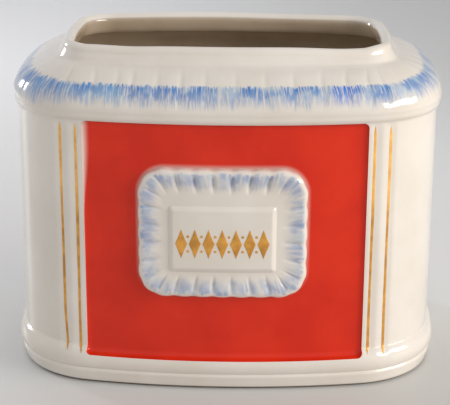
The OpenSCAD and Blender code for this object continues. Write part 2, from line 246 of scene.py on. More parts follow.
# %% Values of the upright curve, in mm
BAND_LIFT, BAND_H, BAND_LOW_OUT, BAND_HIGH_OUT, BAND_EASE = 0.8, 9.6, 0.8, 2.7, 1.2
ROLL_OUT, ROLL_CREST, ROLL_RISE = 3.8, BAND_H + 5.4, 7.5
ROLL_TOP = ROLL_CREST + ROLL_RISE
ROLL_R = (ROLL_OUT ** 2 + ROLL_RISE ** 2) / (2 * ROLL_OUT)
WALL_TOP = 154.0
BEAD_OUT, BEAD_R, BEAD_CREST, BEAD_H = 2.1, 4.3, 3.1, 4.5
BEAD_TOP = WALL_TOP + BEAD_H
EDGE_R, EDGE_TURN, SHOULDER_OUT, SHOULDER_CREST = 15.0, math.radians(55), 2.6, 1.25
NECK_INSET, NECK_T, NECK_H = 26.3, 7.5, 8.5
NECK_FLARE = 2.9  # how much wider the neck is at its foot than at its lip
THIN_T = 4.0  # the shoulder's thickness beside the neck, where the slip drained thinner
SHOULDER_RISE = 21.25
EDGE_MIDDLE = np.array([SHOULDER_OUT - EDGE_R, BEAD_TOP + SHOULDER_CREST])
NECK_FOOT = EDGE_MIDDLE[1] + SHOULDER_RISE
RIM_TOP = NECK_FOOT + NECK_H
LIP_R = NECK_T / 2
LIP_FOOT = RIM_TOP - LIP_R
CHAMFER = 1.0  # of the band's lower edge
GLAZE_SOFT, PUDDLE_SOFT, INSIDE_SOFT = 0.55, 1.05, 2.2  # how far the glaze rounds each curve
print("rim at", round(float(RIM_TOP), 2), "mm, lip radius", LIP_R, "mm")


# %% Helpers for the upright curve
def arc(middle, radius, first, last, steps=24):
    a = np.linspace(first, last, steps)
    return np.stack([middle[0] + radius * np.cos(a), middle[1] + radius * np.sin(a)], 1)


def shoulder_curve(inward, end):
    """The shoulder's edge and its flatter top, moved inward, up to a distance from the wall."""
    way = np.array([math.cos(EDGE_TURN), math.sin(EDGE_TURN)])
    to_neck = np.array([-NECK_INSET, NECK_FOOT]) - EDGE_MIDDLE
    more = (to_neck @ to_neck - EDGE_R ** 2) / (2 * (EDGE_R - to_neck @ way))
    middle, radius, r = EDGE_MIDDLE - more * way, EDGE_R + more - inward, EDGE_R - inward
    edge = arc(EDGE_MIDDLE, r, -math.asin(SHOULDER_CREST / r), EDGE_TURN)
    return np.concatenate([edge[:-1], arc(middle, radius, EDGE_TURN, math.acos((end - middle[0]) / radius))])


def lengths_to(line):
    """The length from a line's first point to each of its points."""
    return np.concatenate([[0], np.cumsum(np.linalg.norm(np.diff(line, axis=0), axis=1))])


def points_at(lengths, line):
    return np.stack([np.interp(lengths, lengths_to(line), line[:, i]) for i in (0, 1)], 1)


def softened(points, reach, spacing=0.05):
    """A line smoothed along its length. reach is how far the smoothing reaches, in mm. However
    far it reaches, a line gives the same number of points."""
    line = points_at(np.arange(0, lengths_to(points)[-1], spacing), points)
    pad = int(4 * reach / spacing)
    weights = np.exp(-0.5 * (np.arange(-pad, pad + 1) * spacing / reach) ** 2)
    weights /= weights.sum()
    padded = np.concatenate([2 * line[0] - line[pad:0:-1], line, 2 * line[-1] - line[-2:-pad - 2:-1]])
    return np.stack([np.convolve(padded[:, i], weights, "valid") for i in (0, 1)], 1)


# %% The upright curve
roll_bottom, roll_end = -math.asin((ROLL_CREST - BAND_H) / ROLL_R), math.asin(ROLL_RISE / ROLL_R)
bead_low, bead_high = -math.asin(BEAD_CREST / BEAD_R), math.asin((BEAD_H - BEAD_CREST) / BEAD_R)
clay_outside = np.concatenate([
    [(-0.5, BAND_LIFT), (BAND_LOW_OUT + 0.1 - CHAMFER, BAND_LIFT), (BAND_LOW_OUT + 0.1, BAND_LIFT + CHAMFER),
     (BAND_HIGH_OUT, BAND_H - BAND_EASE), (BAND_HIGH_OUT - BAND_EASE, BAND_H)],
    arc((ROLL_OUT - ROLL_R, ROLL_CREST), ROLL_R, roll_bottom, roll_end),
    [(0, ROLL_TOP + 0.1), (0, WALL_TOP)],
    arc((BEAD_OUT - BEAD_R, WALL_TOP + BEAD_CREST), BEAD_R, bead_low, bead_high),
    shoulder_curve(0, -NECK_INSET + NECK_FLARE), [(-NECK_INSET + 0.1, LIP_FOOT - 0.3)],
    arc((-NECK_INSET - LIP_R, LIP_FOOT), LIP_R, 0, RIGHT_ANGLE)])
thick, thin = (shoulder_curve(t, -NECK_INSET - NECK_T) for t in (WALL_T, THIN_T))
thinner = smooth_step(0.35, 0.9, np.linspace(0, 1, len(thick)))[:, None]
clay_inside = np.concatenate([
    [(-WALL_T, BAND_H), (-WALL_T, WALL_TOP)], (thick + thinner * (thin - thick))[:-2],
    [(-NECK_INSET - NECK_T + 0.6, NECK_FOOT + 2)],
    arc((-NECK_INSET - LIP_R, LIP_FOOT), LIP_R, 2 * RIGHT_ANGLE, RIGHT_ANGLE)])
OUTSIDE, PUDDLED = softened(clay_outside, GLAZE_SOFT), softened(clay_outside, PUDDLE_SOFT)
INSIDE = softened(clay_inside, INSIDE_SOFT)
for low, high in ((WALL_TOP, BEAD_TOP), (NECK_FOOT, NECK_FOOT)):
    # The glaze ran together in the creases beside the bead and at the neck's foot.
    up = OUTSIDE[:, 1:]
    share = smooth_step(low - 3, low - 1, up) * (1 - smooth_step(high + 1.5, high + 4, up))
    OUTSIDE = OUTSIDE * (1 - share) + PUDDLED * share
print("upright curve:", len(OUTSIDE), "points outside,", len(INSIDE), "inside")

# %% Cutting the curve
NEAR_CUT = np.array([0, 0.04, 0.12, 0.25, 0.4, 0.6])  # steps close to a cut, in mm


def fine_ends(low, high, step=0.6):
    """Numbers from low to high, closer together at both ends, where a piece meets the next one.
    The fine steps make both pieces' shading agree there."""
    middle = np.linspace(low + NEAR_CUT[-1], high - NEAR_CUT[-1], max(2, int((high - low) / step)))
    return np.concatenate([low + NEAR_CUT[:-1], middle, high - NEAR_CUT[-2::-1]])


def stretch(curve, low, high):
    """The part of a curve between two heights, from the lower to the upper."""
    return points_at(fine_ends(*np.interp([low, high], curve[:, 1], lengths_to(curve))), curve)


def out_at(z):
    """How far out the smoothed outside lies at a height."""
    return np.interp(z, OUTSIDE[:, 1], OUTSIDE[:, 0])


print("the outside is", round(float(out_at(ROLL_CREST)), 2), "mm out at the roll's crest")

# %% [markdown]
# ## Grids that become pieces
# Clay has a thickness, so each piece is a closed solid: a grid of points that closes on itself.
# A Screw modifier or a bevelled curve could sweep a section, but here the section changes from
# place to place, so the points and faces are listed in code. A map with the lengths along and
# across the piece goes with it: painted strokes need to know how far round the jar and how far
# down the curve they are.

# %% Making one piece
BODY = "root"
SHARP = math.radians(50)


def add_piece(name, points, faces, glaze_map, node, slot="ivory_glaze"):
    """Makes one object in the place of one node. glaze_map gives two lengths in metres for each
    point, or for each corner of each face."""
    points, glaze_map = points.reshape(-1, 3), glaze_map.reshape(-1, 2)
    if len(glaze_map) == len(points):
        glaze_map = glaze_map[np.concatenate(faces)]
    mesh = bpy.data.meshes.new(name)
    mesh.from_pydata(points.tolist(), [], faces)
    layer = mesh.uv_layers.new(name="glaze_map")
    layer.data.foreach_set("uv", glaze_map.astype(np.float32).ravel())
    mesh.polygons.foreach_set("use_smooth", [True] * len(faces))
    mesh.validate()
    mesh.set_sharp_from_angle(angle=SHARP)
    piece = bpy.data.objects.new(name, mesh)
    bpy.context.scene.collection.objects.link(piece)
    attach(piece, BODY)
    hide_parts(node)
    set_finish(piece, slot)
    print(f"{name}: {len(faces)} faces, {(np.ptp(points, axis=0) / MM).round(1)} mm")
    return piece


# %% Faces of grids
def grid_cells(rows, columns):
    """The four corners of each cell of a grid, as (row, column) pairs."""
    i, j = (part.ravel() for part in np.meshgrid(np.arange(rows), np.arange(columns), indexing="ij"))
    return np.stack([np.stack([i, i + 1, i + 1, i], 1), np.stack([j, j, j + 1, j + 1], 1)], 2)


def closed_grid(rows, columns):
    """The cells and faces of a grid that closes on itself both ways. A cell's corner may lie one
    past the end, where its face takes the first point again."""
    cells = grid_cells(rows, columns)
    return cells, ((cells[..., 0] % rows) * columns + cells[..., 1] % columns).tolist()


def slab_faces(rows, columns, first=0):
    """The faces of a slab: an open grid of points, the same grid again behind it, and the walls
    between their rims. first is the number of its first point."""
    cells = grid_cells(rows - 1, columns - 1)
    front, behind = cells[..., 0] * columns + cells[..., 1] + first, rows * columns
    rim = [(i, 0) for i in range(rows)] + [(rows - 1, j) for j in range(1, columns)]
    rim += [(i, columns - 1) for i in range(rows - 2, -1, -1)] + [(0, j) for j in range(columns - 2, 0, -1)]
    rim = [i * columns + j + first for i, j in rim]
    walls = [(b, a, a + behind, b + behind) for a, b in zip(rim, rim[1:] + rim[:1])]
    return front.tolist() + (front[:, ::-1] + behind).tolist() + walls


def loop_faces(loops, count, first=0):
    """The faces between each loop of count points and the next."""
    return [(low + i, low + (i + 1) % count, low + count + (i + 1) % count, low + count + i)
            for low in range(first, first + (loops - 1) * count, count) for i in range(count)]


print("a slab of 2 by 2 points is a box with", len(slab_faces(2, 2)), "faces")


# %% Rings round the plan
def lengths_round(loop):
    """The length from a loop's first point to each of its points, and back to the first."""
    return lengths_to(np.concatenate([loop, loop[:1]]))


def ring(name, along, outside, inside, node, slot="ivory_glaze", climb=0):
    """A closed ring round the plan. outside runs up and inside runs down. Both hold (out, height)
    points in mm: one list of them, or one list for each place along. climb moves what is painted
    on the ring up its section, in metres at each place along."""
    section = np.concatenate([np.broadcast_to(part, (len(along),) + np.shape(part)[-2:])
                              for part in (outside, inside)], 1) * MM
    points = in_space(along[:, None], section[..., 0], section[..., 1])
    cells, faces = closed_grid(*section.shape[:2])
    around, across = np.append(along, along[0] + ROUND), lengths_round(section[0])
    climb = np.resize(climb, len(along))[cells[..., 0] % len(along)]
    glaze_map = np.stack([around[cells[..., 0]], across[cells[..., 1]] - climb], -1)
    return add_piece(name, points, faces, glaze_map, node, slot)


def even_stations(step=1.6):
    """Places along the plan, evenly spaced, about a step in mm apart."""
    return np.linspace(0, ROUND, int(ROUND / (step * MM)), endpoint=False)


print("places round a plain ring:", len(even_stations()))


# %% [markdown]
# ## Foot
# The jar stands on a dry ring that the glaze was wiped from. Over it comes a plinth band whose
# upper edge turns into a crease, and the floor, which runs up into the wall in a soft cove.
# Booleans could cut all three from a block, but a section carried round the plan gives cleaner
# faces. The floor has no hole, so its loops shrink to the middle instead.

# %% Foot ring, floor and band
FLOOR_LOW, FLOOR_TOP, COVE_R = 3.4, 9.8, 5.0
FOOT_OUT, FOOT_IN, FOOT_EASE = -1.0, -9.0, 0.3
foot_edge = arc((FOOT_OUT - FOOT_EASE, FOOT_EASE), FOOT_EASE, -RIGHT_ANGLE, 0, 5)

ring("dry_foot_ring", even_stations(), np.concatenate([foot_edge, [(FOOT_OUT, BAND_LIFT)]]),
     np.concatenate([[(FOOT_IN, BAND_LIFT)], foot_edge[::-1] * [-1, 1] + [FOOT_OUT + FOOT_IN, 0]]),
     "foot_ring", "bisque")
ring("plinth_band", even_stations(), stretch(OUTSIDE, BAND_LIFT, BAND_H),
     [(-WALL_T, BAND_H), (-WALL_T, BAND_LIFT)], "foot_band")


def floor_piece():
    """Loops from the middle of the underside, out to the wall, up the cove and in over the top."""
    along = even_stations(3)
    cove = [(-WALL_T - COVE_R * (1 - math.cos(a)), FLOOR_TOP + COVE_R * (1 - math.sin(a)))
            for a in np.linspace(0, RIGHT_ANGLE, 7)]
    shrink = 1 - np.linspace(0, 1, 14)[1:-1]
    under = in_space(along, -WALL_T * MM, FLOOR_LOW * MM)
    over = [in_space(along, out * MM, z * MM) for out, z in cove]
    loops = [under * [t, t, 1] for t in shrink[::-1]] + [under]
    loops += over + [over[-1] * [t, t, 1] for t in shrink]
    count, per = len(loops), len(along)
    points = np.concatenate(loops + [[[0, 0, FLOOR_LOW * MM]], [[0, 0, FLOOR_TOP * MM]]])
    faces = loop_faces(count, per)
    low, top = count * per, count * per + 1
    faces += [(low, (i + 1) % per, i) for i in range(per)]
    faces += [(top, low - per + i, low - per + (i + 1) % per) for i in range(per)]
    return add_piece("floor_with_cove", points, faces, points[:, :2], "jar_floor")


floor_piece()

# %% [markdown]
# ## Base roll
# A half-round runs round the bottom. The red recess cuts into its upper half, so at the panels
# the roll ends just above its crest, in a ledge that the red glaze rolls over. A boolean could cut
# that ledge, but its long thin faces would shade badly; lowering the top of the section place by
# place keeps the grid even. The reeds' soft relief runs down onto the roll, so it comes first.

# %% Reed and panel values
WIDE_REED = along_front(82.1), along_front(89.6)
SLIM_REED = along_front(91.1), along_front(96.1)
GOLD_LINES = along_front(81.0), along_front(89.7)
RELIEF_X = [78.8, 81.0, 85.4, 89.7, 93.2, 97.5]
RELIEF_OUT = [0, -0.30, 0.22, -0.30, 0.25, 0]
RELIEF_AT = [along_front(x) for x in RELIEF_X]
UNDER_REED = 0.15
REED_ENDS = [*WIDE_REED, *SLIM_REED, RELIEF_AT[-1] + 0.5]
REED_KNOTS = list(zip(REED_ENDS, REED_ENDS[1:]))
print("reeds (mm from the face's middle):", np.round(WIDE_REED + SLIM_REED, 2))


def reed_relief(across, z):
    """How far the soft ridges and hollows of the reeds stand out at a place, in mm."""
    step = np.clip(np.searchsorted(RELIEF_AT, across) - 1, 0, len(RELIEF_AT) - 2)
    low, high = np.take(RELIEF_AT, step), np.take(RELIEF_AT, step + 1)
    share = smooth_step(0, 1, (across - low) / (high - low))
    wave = np.take(RELIEF_OUT, step) * (1 - share) + np.take(RELIEF_OUT, step + 1) * share
    return wave * smooth_step(ROLL_TOP - 5, ROLL_TOP - 1, z) * smooth_step(-WALL_TOP, 4 - WALL_TOP, -z)


# %% Base roll
PANEL_LOW, PANEL_HIGH, PANEL_R = ROLL_CREST + 3, WALL_TOP - 0.5, 3.0
PANEL_HALF = along_front(77.5)
PANEL_DEEP, ENAMEL_T = 1.6, 0.8


def panel_low_edge(across):
    """Height of the red panel's lower edge, in mm, at a distance from the face's middle in mm."""
    over = np.clip(np.abs(across) - (PANEL_HALF - PANEL_R), 0, PANEL_R)
    return PANEL_LOW + PANEL_R - np.sqrt(PANEL_R ** 2 - over ** 2)


def stations(knots, step=0.25):
    """Places along the plan: 2 mm apart, and close between the given pairs of distances in mm
    from a face's middle, which they meet exactly. The same on both halves of both faces."""
    quarter = ROUND / 4 / MM
    places = set(np.arange(0, quarter, 2.0).round(4))
    for low, high in knots:
        places = {s for s in places if not low - 0.3 < s < high + 0.3}
    for low, high in knots:
        places |= set(np.linspace(low, high, int((high - low) / step) + 2).round(4))
    places = np.array(sorted(places)) * MM
    half = np.concatenate([places, [ROUND / 4], (ROUND / 2 - places)[::-1]])
    return np.concatenate([half[:-1], half[:-1] + ROUND / 2])


def base_roll_piece():
    along = stations([(PANEL_HALF - PANEL_R, PANEL_HALF - 0.02), (PANEL_HALF + 0.02, PANEL_HALF + 0.5)]
                     + REED_KNOTS)
    across = from_middle(along)
    top = np.where(across < PANEL_HALF, panel_low_edge(across), ROLL_TOP)
    share = fine_ends(0, ROLL_TOP - BAND_H, 0.35) / (ROLL_TOP - BAND_H)
    height = BAND_H + (top - BAND_H)[:, None] * share[None, :]
    outside = np.stack([out_at(height) + reed_relief(across[:, None], height), height], 2)
    back = np.zeros((len(along), 2, 2))
    back[:, 0, 1], back[:, 1, 1] = top, BAND_H
    return ring("base_half_round", along, outside, back, "base_roll")


base_roll_piece()

# %% [markdown]
# ## Wall
# The wall's outside is one grid. A displacement texture could shape it, but the recess needs a
# crisp edge, so the distance out is worked out place by place: sunk behind the red panels, and in
# gentle waves where the reeds are. The glaze lies so thick over the reeds that they show only as
# soft ridges. Inside, the wall is smooth.

# %% Wall
def inside_rounded(x, z, half_w, half_h, radius):
    """Distance inside a rounded rectangle's edge, in the units given; below nought outside it."""
    u, v = np.abs(x) - (half_w - radius), np.abs(z) - (half_h - radius)
    beyond = np.hypot(np.maximum(u, 0), np.maximum(v, 0)) + np.minimum(np.maximum(u, v), 0)
    return radius - beyond


PANEL_MID, PANEL_HALF_H = (PANEL_LOW + PANEL_HIGH) / 2, (PANEL_HIGH - PANEL_LOW) / 2


def wall_face(across, z):
    """Distance out of the wall's face, in mm, at a place given in mm."""
    inside = inside_rounded(across, z - PANEL_MID, PANEL_HALF, PANEL_HALF_H, PANEL_R)
    recess = -(PANEL_DEEP + ENAMEL_T) * np.clip(inside / 0.5, 0, 1)
    face = np.where(z < ROLL_TOP, 0, out_at(z)) + reed_relief(across, z)
    for low, high in (WIDE_REED, SLIM_REED):
        face = face - UNDER_REED * ((across > low + 0.01) & (across < high - 0.01))
    return np.where(inside > 0, recess, face)


def wall_piece():
    along = stations([(PANEL_HALF - 5, PANEL_HALF + 0.3), (PANEL_HALF + 0.3, REED_ENDS[0])] + REED_KNOTS)
    across = from_middle(along)
    heights = np.concatenate([  # close together where the recess ends and where the roll and bead begin
        np.arange(BAND_H, PANEL_LOW - 0.4, 1.4), np.arange(PANEL_LOW - 0.3, ROLL_TOP - 0.1, 0.22),
        [ROLL_TOP - 0.01], ROLL_TOP + NEAR_CUT, np.arange(ROLL_TOP + 0.8, ROLL_TOP + 5, 0.22),
        np.arange(ROLL_TOP + 6, PANEL_HIGH - 5, 2.5), np.arange(PANEL_HIGH - 4.6, WALL_TOP - 0.7, 0.2),
        WALL_TOP - NEAR_CUT[::-1]])
    z = np.broadcast_to(heights, (len(along), len(heights)))
    outer = np.stack([wall_face(across[:, None], z), z], 2)
    inner_z = np.concatenate([
        WALL_TOP - NEAR_CUT, np.linspace(WALL_TOP - 1.5, WALL_TOP - 9, 8), [100, 60, 30, BAND_H]])
    inner = np.stack([np.interp(inner_z, INSIDE[:, 1], INSIDE[:, 0]), inner_z], 1)
    return ring("cast_wall", along, outer, inner, "jar_wall")


wall_piece()

# %% [markdown]
# ## Shoulder bead and shoulder
# Two mouldings end the wall: a small bead, and the big roll of the shoulder, which flattens
# towards the neck. Shallow grooves part the shoulder into lobes. An Array modifier could repeat
# one lobe, but these aren't evenly spaced, and each is a little deeper or flatter than the next.
# So the front's grooves have listed places, and the rest follow in uneven steps.

# %% Lobes
GROOVE_DEEP, GROOVE_LINE, GROOVE_FALL = 0.65, 1.3, 5.0  # depth, and reach of its line and of its sides
AT_END_FAINTER = 0.7
FRONT_GROOVES = [-72.5, -59.6, -51.1, -37.2, -24.3, -11, 5.6, 21.7, 37.2, 52.5, 66, 78.3, 88]
LOBE_STEP = 15.5
chance = np.random.default_rng(11)


def groove_places():
    """Lengths along the plan: the front's own places, then uneven steps round the rest."""
    front = np.array(FRONT_GROOVES) * MM
    gap = ROUND - (front[-1] - front[0])
    count = round(gap / (LOBE_STEP * MM))
    steps = 1 + chance.uniform(-0.16, 0.16, count)
    rest = front[-1] + np.cumsum(steps)[:-1] / steps.sum() * gap
    return np.mod(np.concatenate([front, rest]), ROUND)


GROOVES = groove_places()
GROOVE_STRENGTH = chance.uniform(0.6, 1.1, len(GROOVES))
print("lobes:", len(GROOVES))


def groove_depth(along):
    """How deep the nearest groove is at each place along, from 0 to about 1."""
    gap = way_from(GROOVES[None, :], along[:, None])
    nearest = np.abs(gap).argmin(1)
    distance = np.abs(gap)[np.arange(len(along)), nearest] / MM
    line, fall = np.exp(-(distance / GROOVE_LINE) ** 2), np.exp(-(distance / GROOVE_FALL) ** 2)
    return (0.6 * line + 0.4 * fall) * GROOVE_STRENGTH[nearest]


def lean_in(curve):
    """Unit vectors that point into the clay, square to a curve."""
    way = np.gradient(curve, axis=0)
    way /= np.linalg.norm(way, axis=1)[:, None]
    return np.stack([-way[:, 1], way[:, 0]], 1)


# %% Bead and shoulder
ring("under_shoulder_bead", even_stations(1.2), stretch(OUTSIDE, WALL_TOP, BEAD_TOP),
     stretch(INSIDE, WALL_TOP, BEAD_TOP)[::-1], "shoulder_bead")

SHOULDER = stretch(OUTSIDE, BEAD_TOP, NECK_FOOT)
SHOULDER_LENGTHS = lengths_to(SHOULDER)
END_CLIMB = 3.5 * MM  # how far the painted band climbs at the jar's ends


def shoulder_piece():
    """A groove sets in above the bead and dies out towards the neck; round the ends all are faint."""
    along = even_stations(0.9)
    share = SHOULDER_LENGTHS / SHOULDER_LENGTHS[-1]
    fade = smooth_step(0.03, 0.25, share) * (1 - smooth_step(0.55, 1, share))
    at_end = smooth_step(0.75 * HALF_W, HALF_W, np.abs(outline(along)[0][:, 0]))
    depth = GROOVE_DEEP * (groove_depth(along) * (1 - AT_END_FAINTER * at_end))[:, None] * fade[None, :]
    outer = SHOULDER[None] + lean_in(SHOULDER)[None] * depth[..., None]
    inner = stretch(INSIDE, BEAD_TOP, NECK_FOOT)[::-1]
    return ring("lobed_shoulder", along, outer, inner, "shoulder_dome", climb=END_CLIMB * at_end)


shoulder_piece()

# %% [markdown]
# ## Neck and lip
# The neck leaves the shoulder in a small hollow and ends in a lip that was rounded with a wet
# sponge. The lip isn't quite level: it dips by half a millimetre to 1.4 mm in four places.
# Proportional editing could pull such dips by hand; a bell curve for each does the same with
# three numbers, and the neck and the lip both follow it.

# %% Neck and lip
DIPS = [(70, 23, 1.4), (-54, 16, 0.7), (-84, 16, 0.5), (ROUND / 2 / MM - 40, 35, 0.5)]
print("lip dips (mm):", [f"{depth} at {place:.0f}" for place, _, depth in DIPS])


def sunk(along, section):
    """The section at each place along, with its upper part sunk where the lip dips."""
    dip = 0
    for place, reach, depth in DIPS:
        dip = dip + depth * np.exp(-(way_from(place * MM, along) / (reach * MM)) ** 2)
    section = np.broadcast_to(section, (len(along),) + section.shape).copy()
    section[..., 1] -= dip[:, None] * smooth_step(NECK_FOOT + 1, LIP_FOOT, section[..., 1])
    return section


def neck_or_lip(name, low, high, node):
    along = even_stations()
    outer, inner = (stretch(c, low, high) for c in (OUTSIDE, INSIDE))
    last = len(inner) - 1 - (high == RIM_TOP)  # at the rim's top both curves share one point
    return ring(name, along, sunk(along, outer), sunk(along, inner[last::-1]), node)


neck_or_lip("upright_neck", NECK_FOOT, LIP_FOOT, "neck_collar")
neck_or_lip("sponged_lip", LIP_FOOT, RIM_TOP, "rim_lip")

# %% [markdown]
# ## Patches on a face
# The red panels, the label's ground and its tablet are rounded rectangles that lie on a bowed
# face. A Shrinkwrap modifier could press a flat shape onto it, but points laid out by their
# length along the face need no pressing. A patch is a grid whose corner squares are bent into
# quarter circles, so its edge is a true curve and no cell collapses. Its front and its back are
# joined by side walls.

# %% Patch helper
def graded(half, near_edge):
    """Grid lines from -half to half: close together near the edges, then about 2.5 mm apart."""
    side = half - np.array(near_edge)
    middle = np.linspace(-side[-1], side[-1], max(2, int(2 * side[-1] / 2.5) + 1))
    return np.concatenate([-side[:-1], middle, side[:-1][::-1]])


def bend_corners(x, z, half_w, half_h, radius):
    """Moves the points in the corner squares of a rectangle into its quarter circles."""
    u, v = (np.abs(x) - (half_w - radius)) / radius, (np.abs(z) - (half_h - radius)) / radius
    corner = (u > 0) & (v > 0)
    bent_u, bent_v = u * np.sqrt(1 - np.clip(v, 0, 1) ** 2 / 2), v * np.sqrt(1 - np.clip(u, 0, 1) ** 2 / 2)
    x = np.where(corner, np.sign(x) * (half_w - radius + bent_u * radius), x)
    z = np.where(corner, np.sign(z) * (half_h - radius + bent_v * radius), z)
    return x, z


def patch(name, half_w, half_h, radius, near_edge, front, back, middle, node, slot="ivory_glaze",
          behind=False):
    """front and back give the distance out in mm from x, z and the distance inside the edge, in mm
    from the patch's middle. behind puts the patch on the jar's back."""
    x, z = np.meshgrid(graded(half_w, near_edge), graded(half_h, near_edge), indexing="ij")
    x, z = bend_corners(x, z, half_w, half_h, radius)
    inside = np.maximum(inside_rounded(x, z, half_w, half_h, radius), 0)
    along = (x + middle[0]) * MM + (ROUND / 2 if behind else 0)
    points = np.concatenate([in_space(along, side(x, z, inside) * MM, (z + middle[1]) * MM).reshape(-1, 3)
                             for side in (front, back)])
    flat = np.stack([x, z], -1) * MM
    return add_piece(name, points, slab_faces(*x.shape), np.concatenate([flat, flat]), node, slot)


# %% [markdown]
# ## Red panels
# Red enamel fills each recess from its floor up the hollow round its edge. It could be a mere
# colour on the wall, but as a skin of its own it has the rounded edge that catches the light. At
# the bottom that hollow is deeper, because it climbs to the base roll.

# %% Red panels
HOLLOW_W = 3.2
EDGE_LINES = [0, 0.08, 0.2, 0.4, 0.7, 1.1, 1.6, 2.2, 2.8, 3.4, 4.2, 5.2]
PROUD = 0.05


def edge_height(z):
    """How far out the white surface is at the recess's edge."""
    return out_at(np.maximum(z + PANEL_MID, PANEL_LOW)) + PROUD


def red_front(x, z, inside):
    reach = np.clip(inside / HOLLOW_W, 0, 1)
    lift = 1 - np.sqrt(1 - (1 - reach) ** 2)
    return -PANEL_DEEP + (edge_height(z) + PANEL_DEEP) * lift


def red_back(x, z, inside):
    return red_front(x, z, inside) - ENAMEL_T * 0.7


for side in ("front", "back"):
    patch(side + "_red_glaze", PANEL_HALF, PANEL_HALF_H, PANEL_R, EDGE_LINES, red_front, red_back,
          (0, PANEL_MID), side + "_red_panel", "red_enamel", side == "back")

# %% [markdown]
# ## Reeds and gold lines
# Beside each panel run two flat reeds, a wide one and a slim one, with a gold line painted in
# the groove on the panel's side of each. The lines could be stripes in a texture, but a thin strip has
# the slight thickness of laid-on gold and a sharp edge from close by. A painted line is never
# quite straight or even: it wanders a little, swells and ends in a point, each in its own way.

# %% Strip helper
def upright_strips(name, strips, node, slot, behind, left):
    """Closed strips up a face. Each strip gives, for a grid of shares across and up it, the
    distance from the face's middle, the distance out and the height, in mm, and the same for
    its back."""
    points, faces, glaze_map, count = [], [], [], 0
    start, turn = (ROUND / 2 if behind else 0), (-1 if left != behind else 1)
    for front, back in strips:
        faces += [face[::turn] for face in slab_faces(*front[0].shape, count)]
        for across, out, height in (front, back):
            points.append(in_space(start + turn * across * MM, out * MM, height * MM).reshape(-1, 3))
            glaze_map.append(np.stack([across, height], -1).reshape(-1, 2) * MM)
            count += across.size
    return add_piece(name, np.concatenate(points), faces, np.concatenate(glaze_map), node, slot)


# %% Reeds and gold lines
def reed_strip(low, high):
    """A reed between two distances from the face's middle, flush with the wall beside it."""
    share = np.linspace(0, 1, 25)
    up = fine_ends(0, WALL_TOP - ROLL_TOP, 1.2)
    across, height = np.meshgrid(low + (high - low) * share, ROLL_TOP + up, indexing="ij")
    out = out_at(height) + reed_relief(across, height)
    return (across, out, height), (across, out - UNDER_REED - 0.1, height)


GOLD_W, GOLD_RISE, GOLD_STOP = 1.6, 0.13, 1.5
FOOT_HOOK = 1.2  # how far the outer left line bends at its foot


def gold_strip(middle, seed, hook):
    """A painted line in a groove. At its foot it bends hook mm towards the panel."""
    wander = np.random.default_rng(seed)
    up = np.linspace(0, 1, 90)
    low = ROLL_TOP - 2 * GOLD_STOP - wander.uniform(-0.5, 1)
    high = WALL_TOP - GOLD_STOP - wander.uniform(0.3, 2.0)
    swell = 0.5 * GOLD_W * (1 - 0.10 * np.sin(up * 9 + wander.uniform(0, 6)))
    swell *= np.clip(np.minimum(up / 0.02, (1 - up) / 0.03), 0.06, 1) ** 0.6
    drift = 0.08 * np.sin(up * 7 + wander.uniform(0, 6)) + 0.03 * np.sin(up * 23 + wander.uniform(0, 6))
    side = np.linspace(-1, 1, 7)
    height = low + (high - low) * up
    drift -= hook * (1 - smooth_step(0, 0.2, up)) + 0.35 * np.maximum(out_at(height), 0)
    across = middle + drift[None, :] + side[:, None] * swell[None, :]
    height = np.broadcast_to(height, across.shape)
    ground = out_at(height) + reed_relief(across, height)
    return ((across, ground + GOLD_RISE * (1 - 0.7 * side[:, None] ** 2), height),
            (across, ground - 0.05, height))


for behind in (False, True):
    for left in (False, True):
        side = f"{'back' if behind else 'front'}_{'left' if left else 'right'}"
        upright_strips(side + "_reed_pair", [reed_strip(*WIDE_REED), reed_strip(*SLIM_REED)],
                       side + "_reeds", "ivory_glaze", behind, left)
        lines = [gold_strip(at, 3 + 2 * i + left + 4 * behind, FOOT_HOOK * (left and i))
                 for i, at in enumerate(GOLD_LINES)]
        upright_strips(side + "_gold_pair", lines, side + "_gilt_lines", "gilding", behind, left)

# %% [markdown]
# ## Label
# The label is a pillow of clay with a crimped border, like a pie's edge: thumb grooves run
# inwards from the rim and fade out. They could be sculpted one by one, but one wave that runs
# round the rim presses them all, harder here and softer there. The border is a ring of loops that
# follow a rounded rectangle, from the red ground up over the crest and down to the flat field.

# %% Label values
LABEL_X, LABEL_Z = -0.9, 92.5
LABEL_W, LABEL_H, LABEL_R = 44.75, 35.25, 13.0
BORDER_W, BORDER_T, BORDER_EDGE, BORDER_CREST = 13.0, 5.4, 2.4, 0.27
FIELD_W, FIELD_H, FIELD_R, FIELD_T = LABEL_W - BORDER_W, LABEL_H - BORDER_W, 4.0, 4.2
CRIMP_OUT, CRIMP_DEEP, SCALLOP = 1.5, 2.3, 0.35
CRIMPS, CRIMP_STEPS = (6, 2, 4, 2), 18  # on a wide side, a corner, a high side and a corner
CRIMP_PRESS = np.repeat([0.65, 0.4, 0.5, 0.4, 1, 0.4, 0.5, 0.4], CRIMPS * 2)  # how hard each was pressed
RIM_FOOT = 0.2  # the height at which the border leaves the red ground
FIELD_OUT = FIELD_T - PANEL_DEEP
print("label (mm):", 2 * LABEL_W, "by", 2 * LABEL_H, "with", sum(CRIMPS) * 2, "crimps")


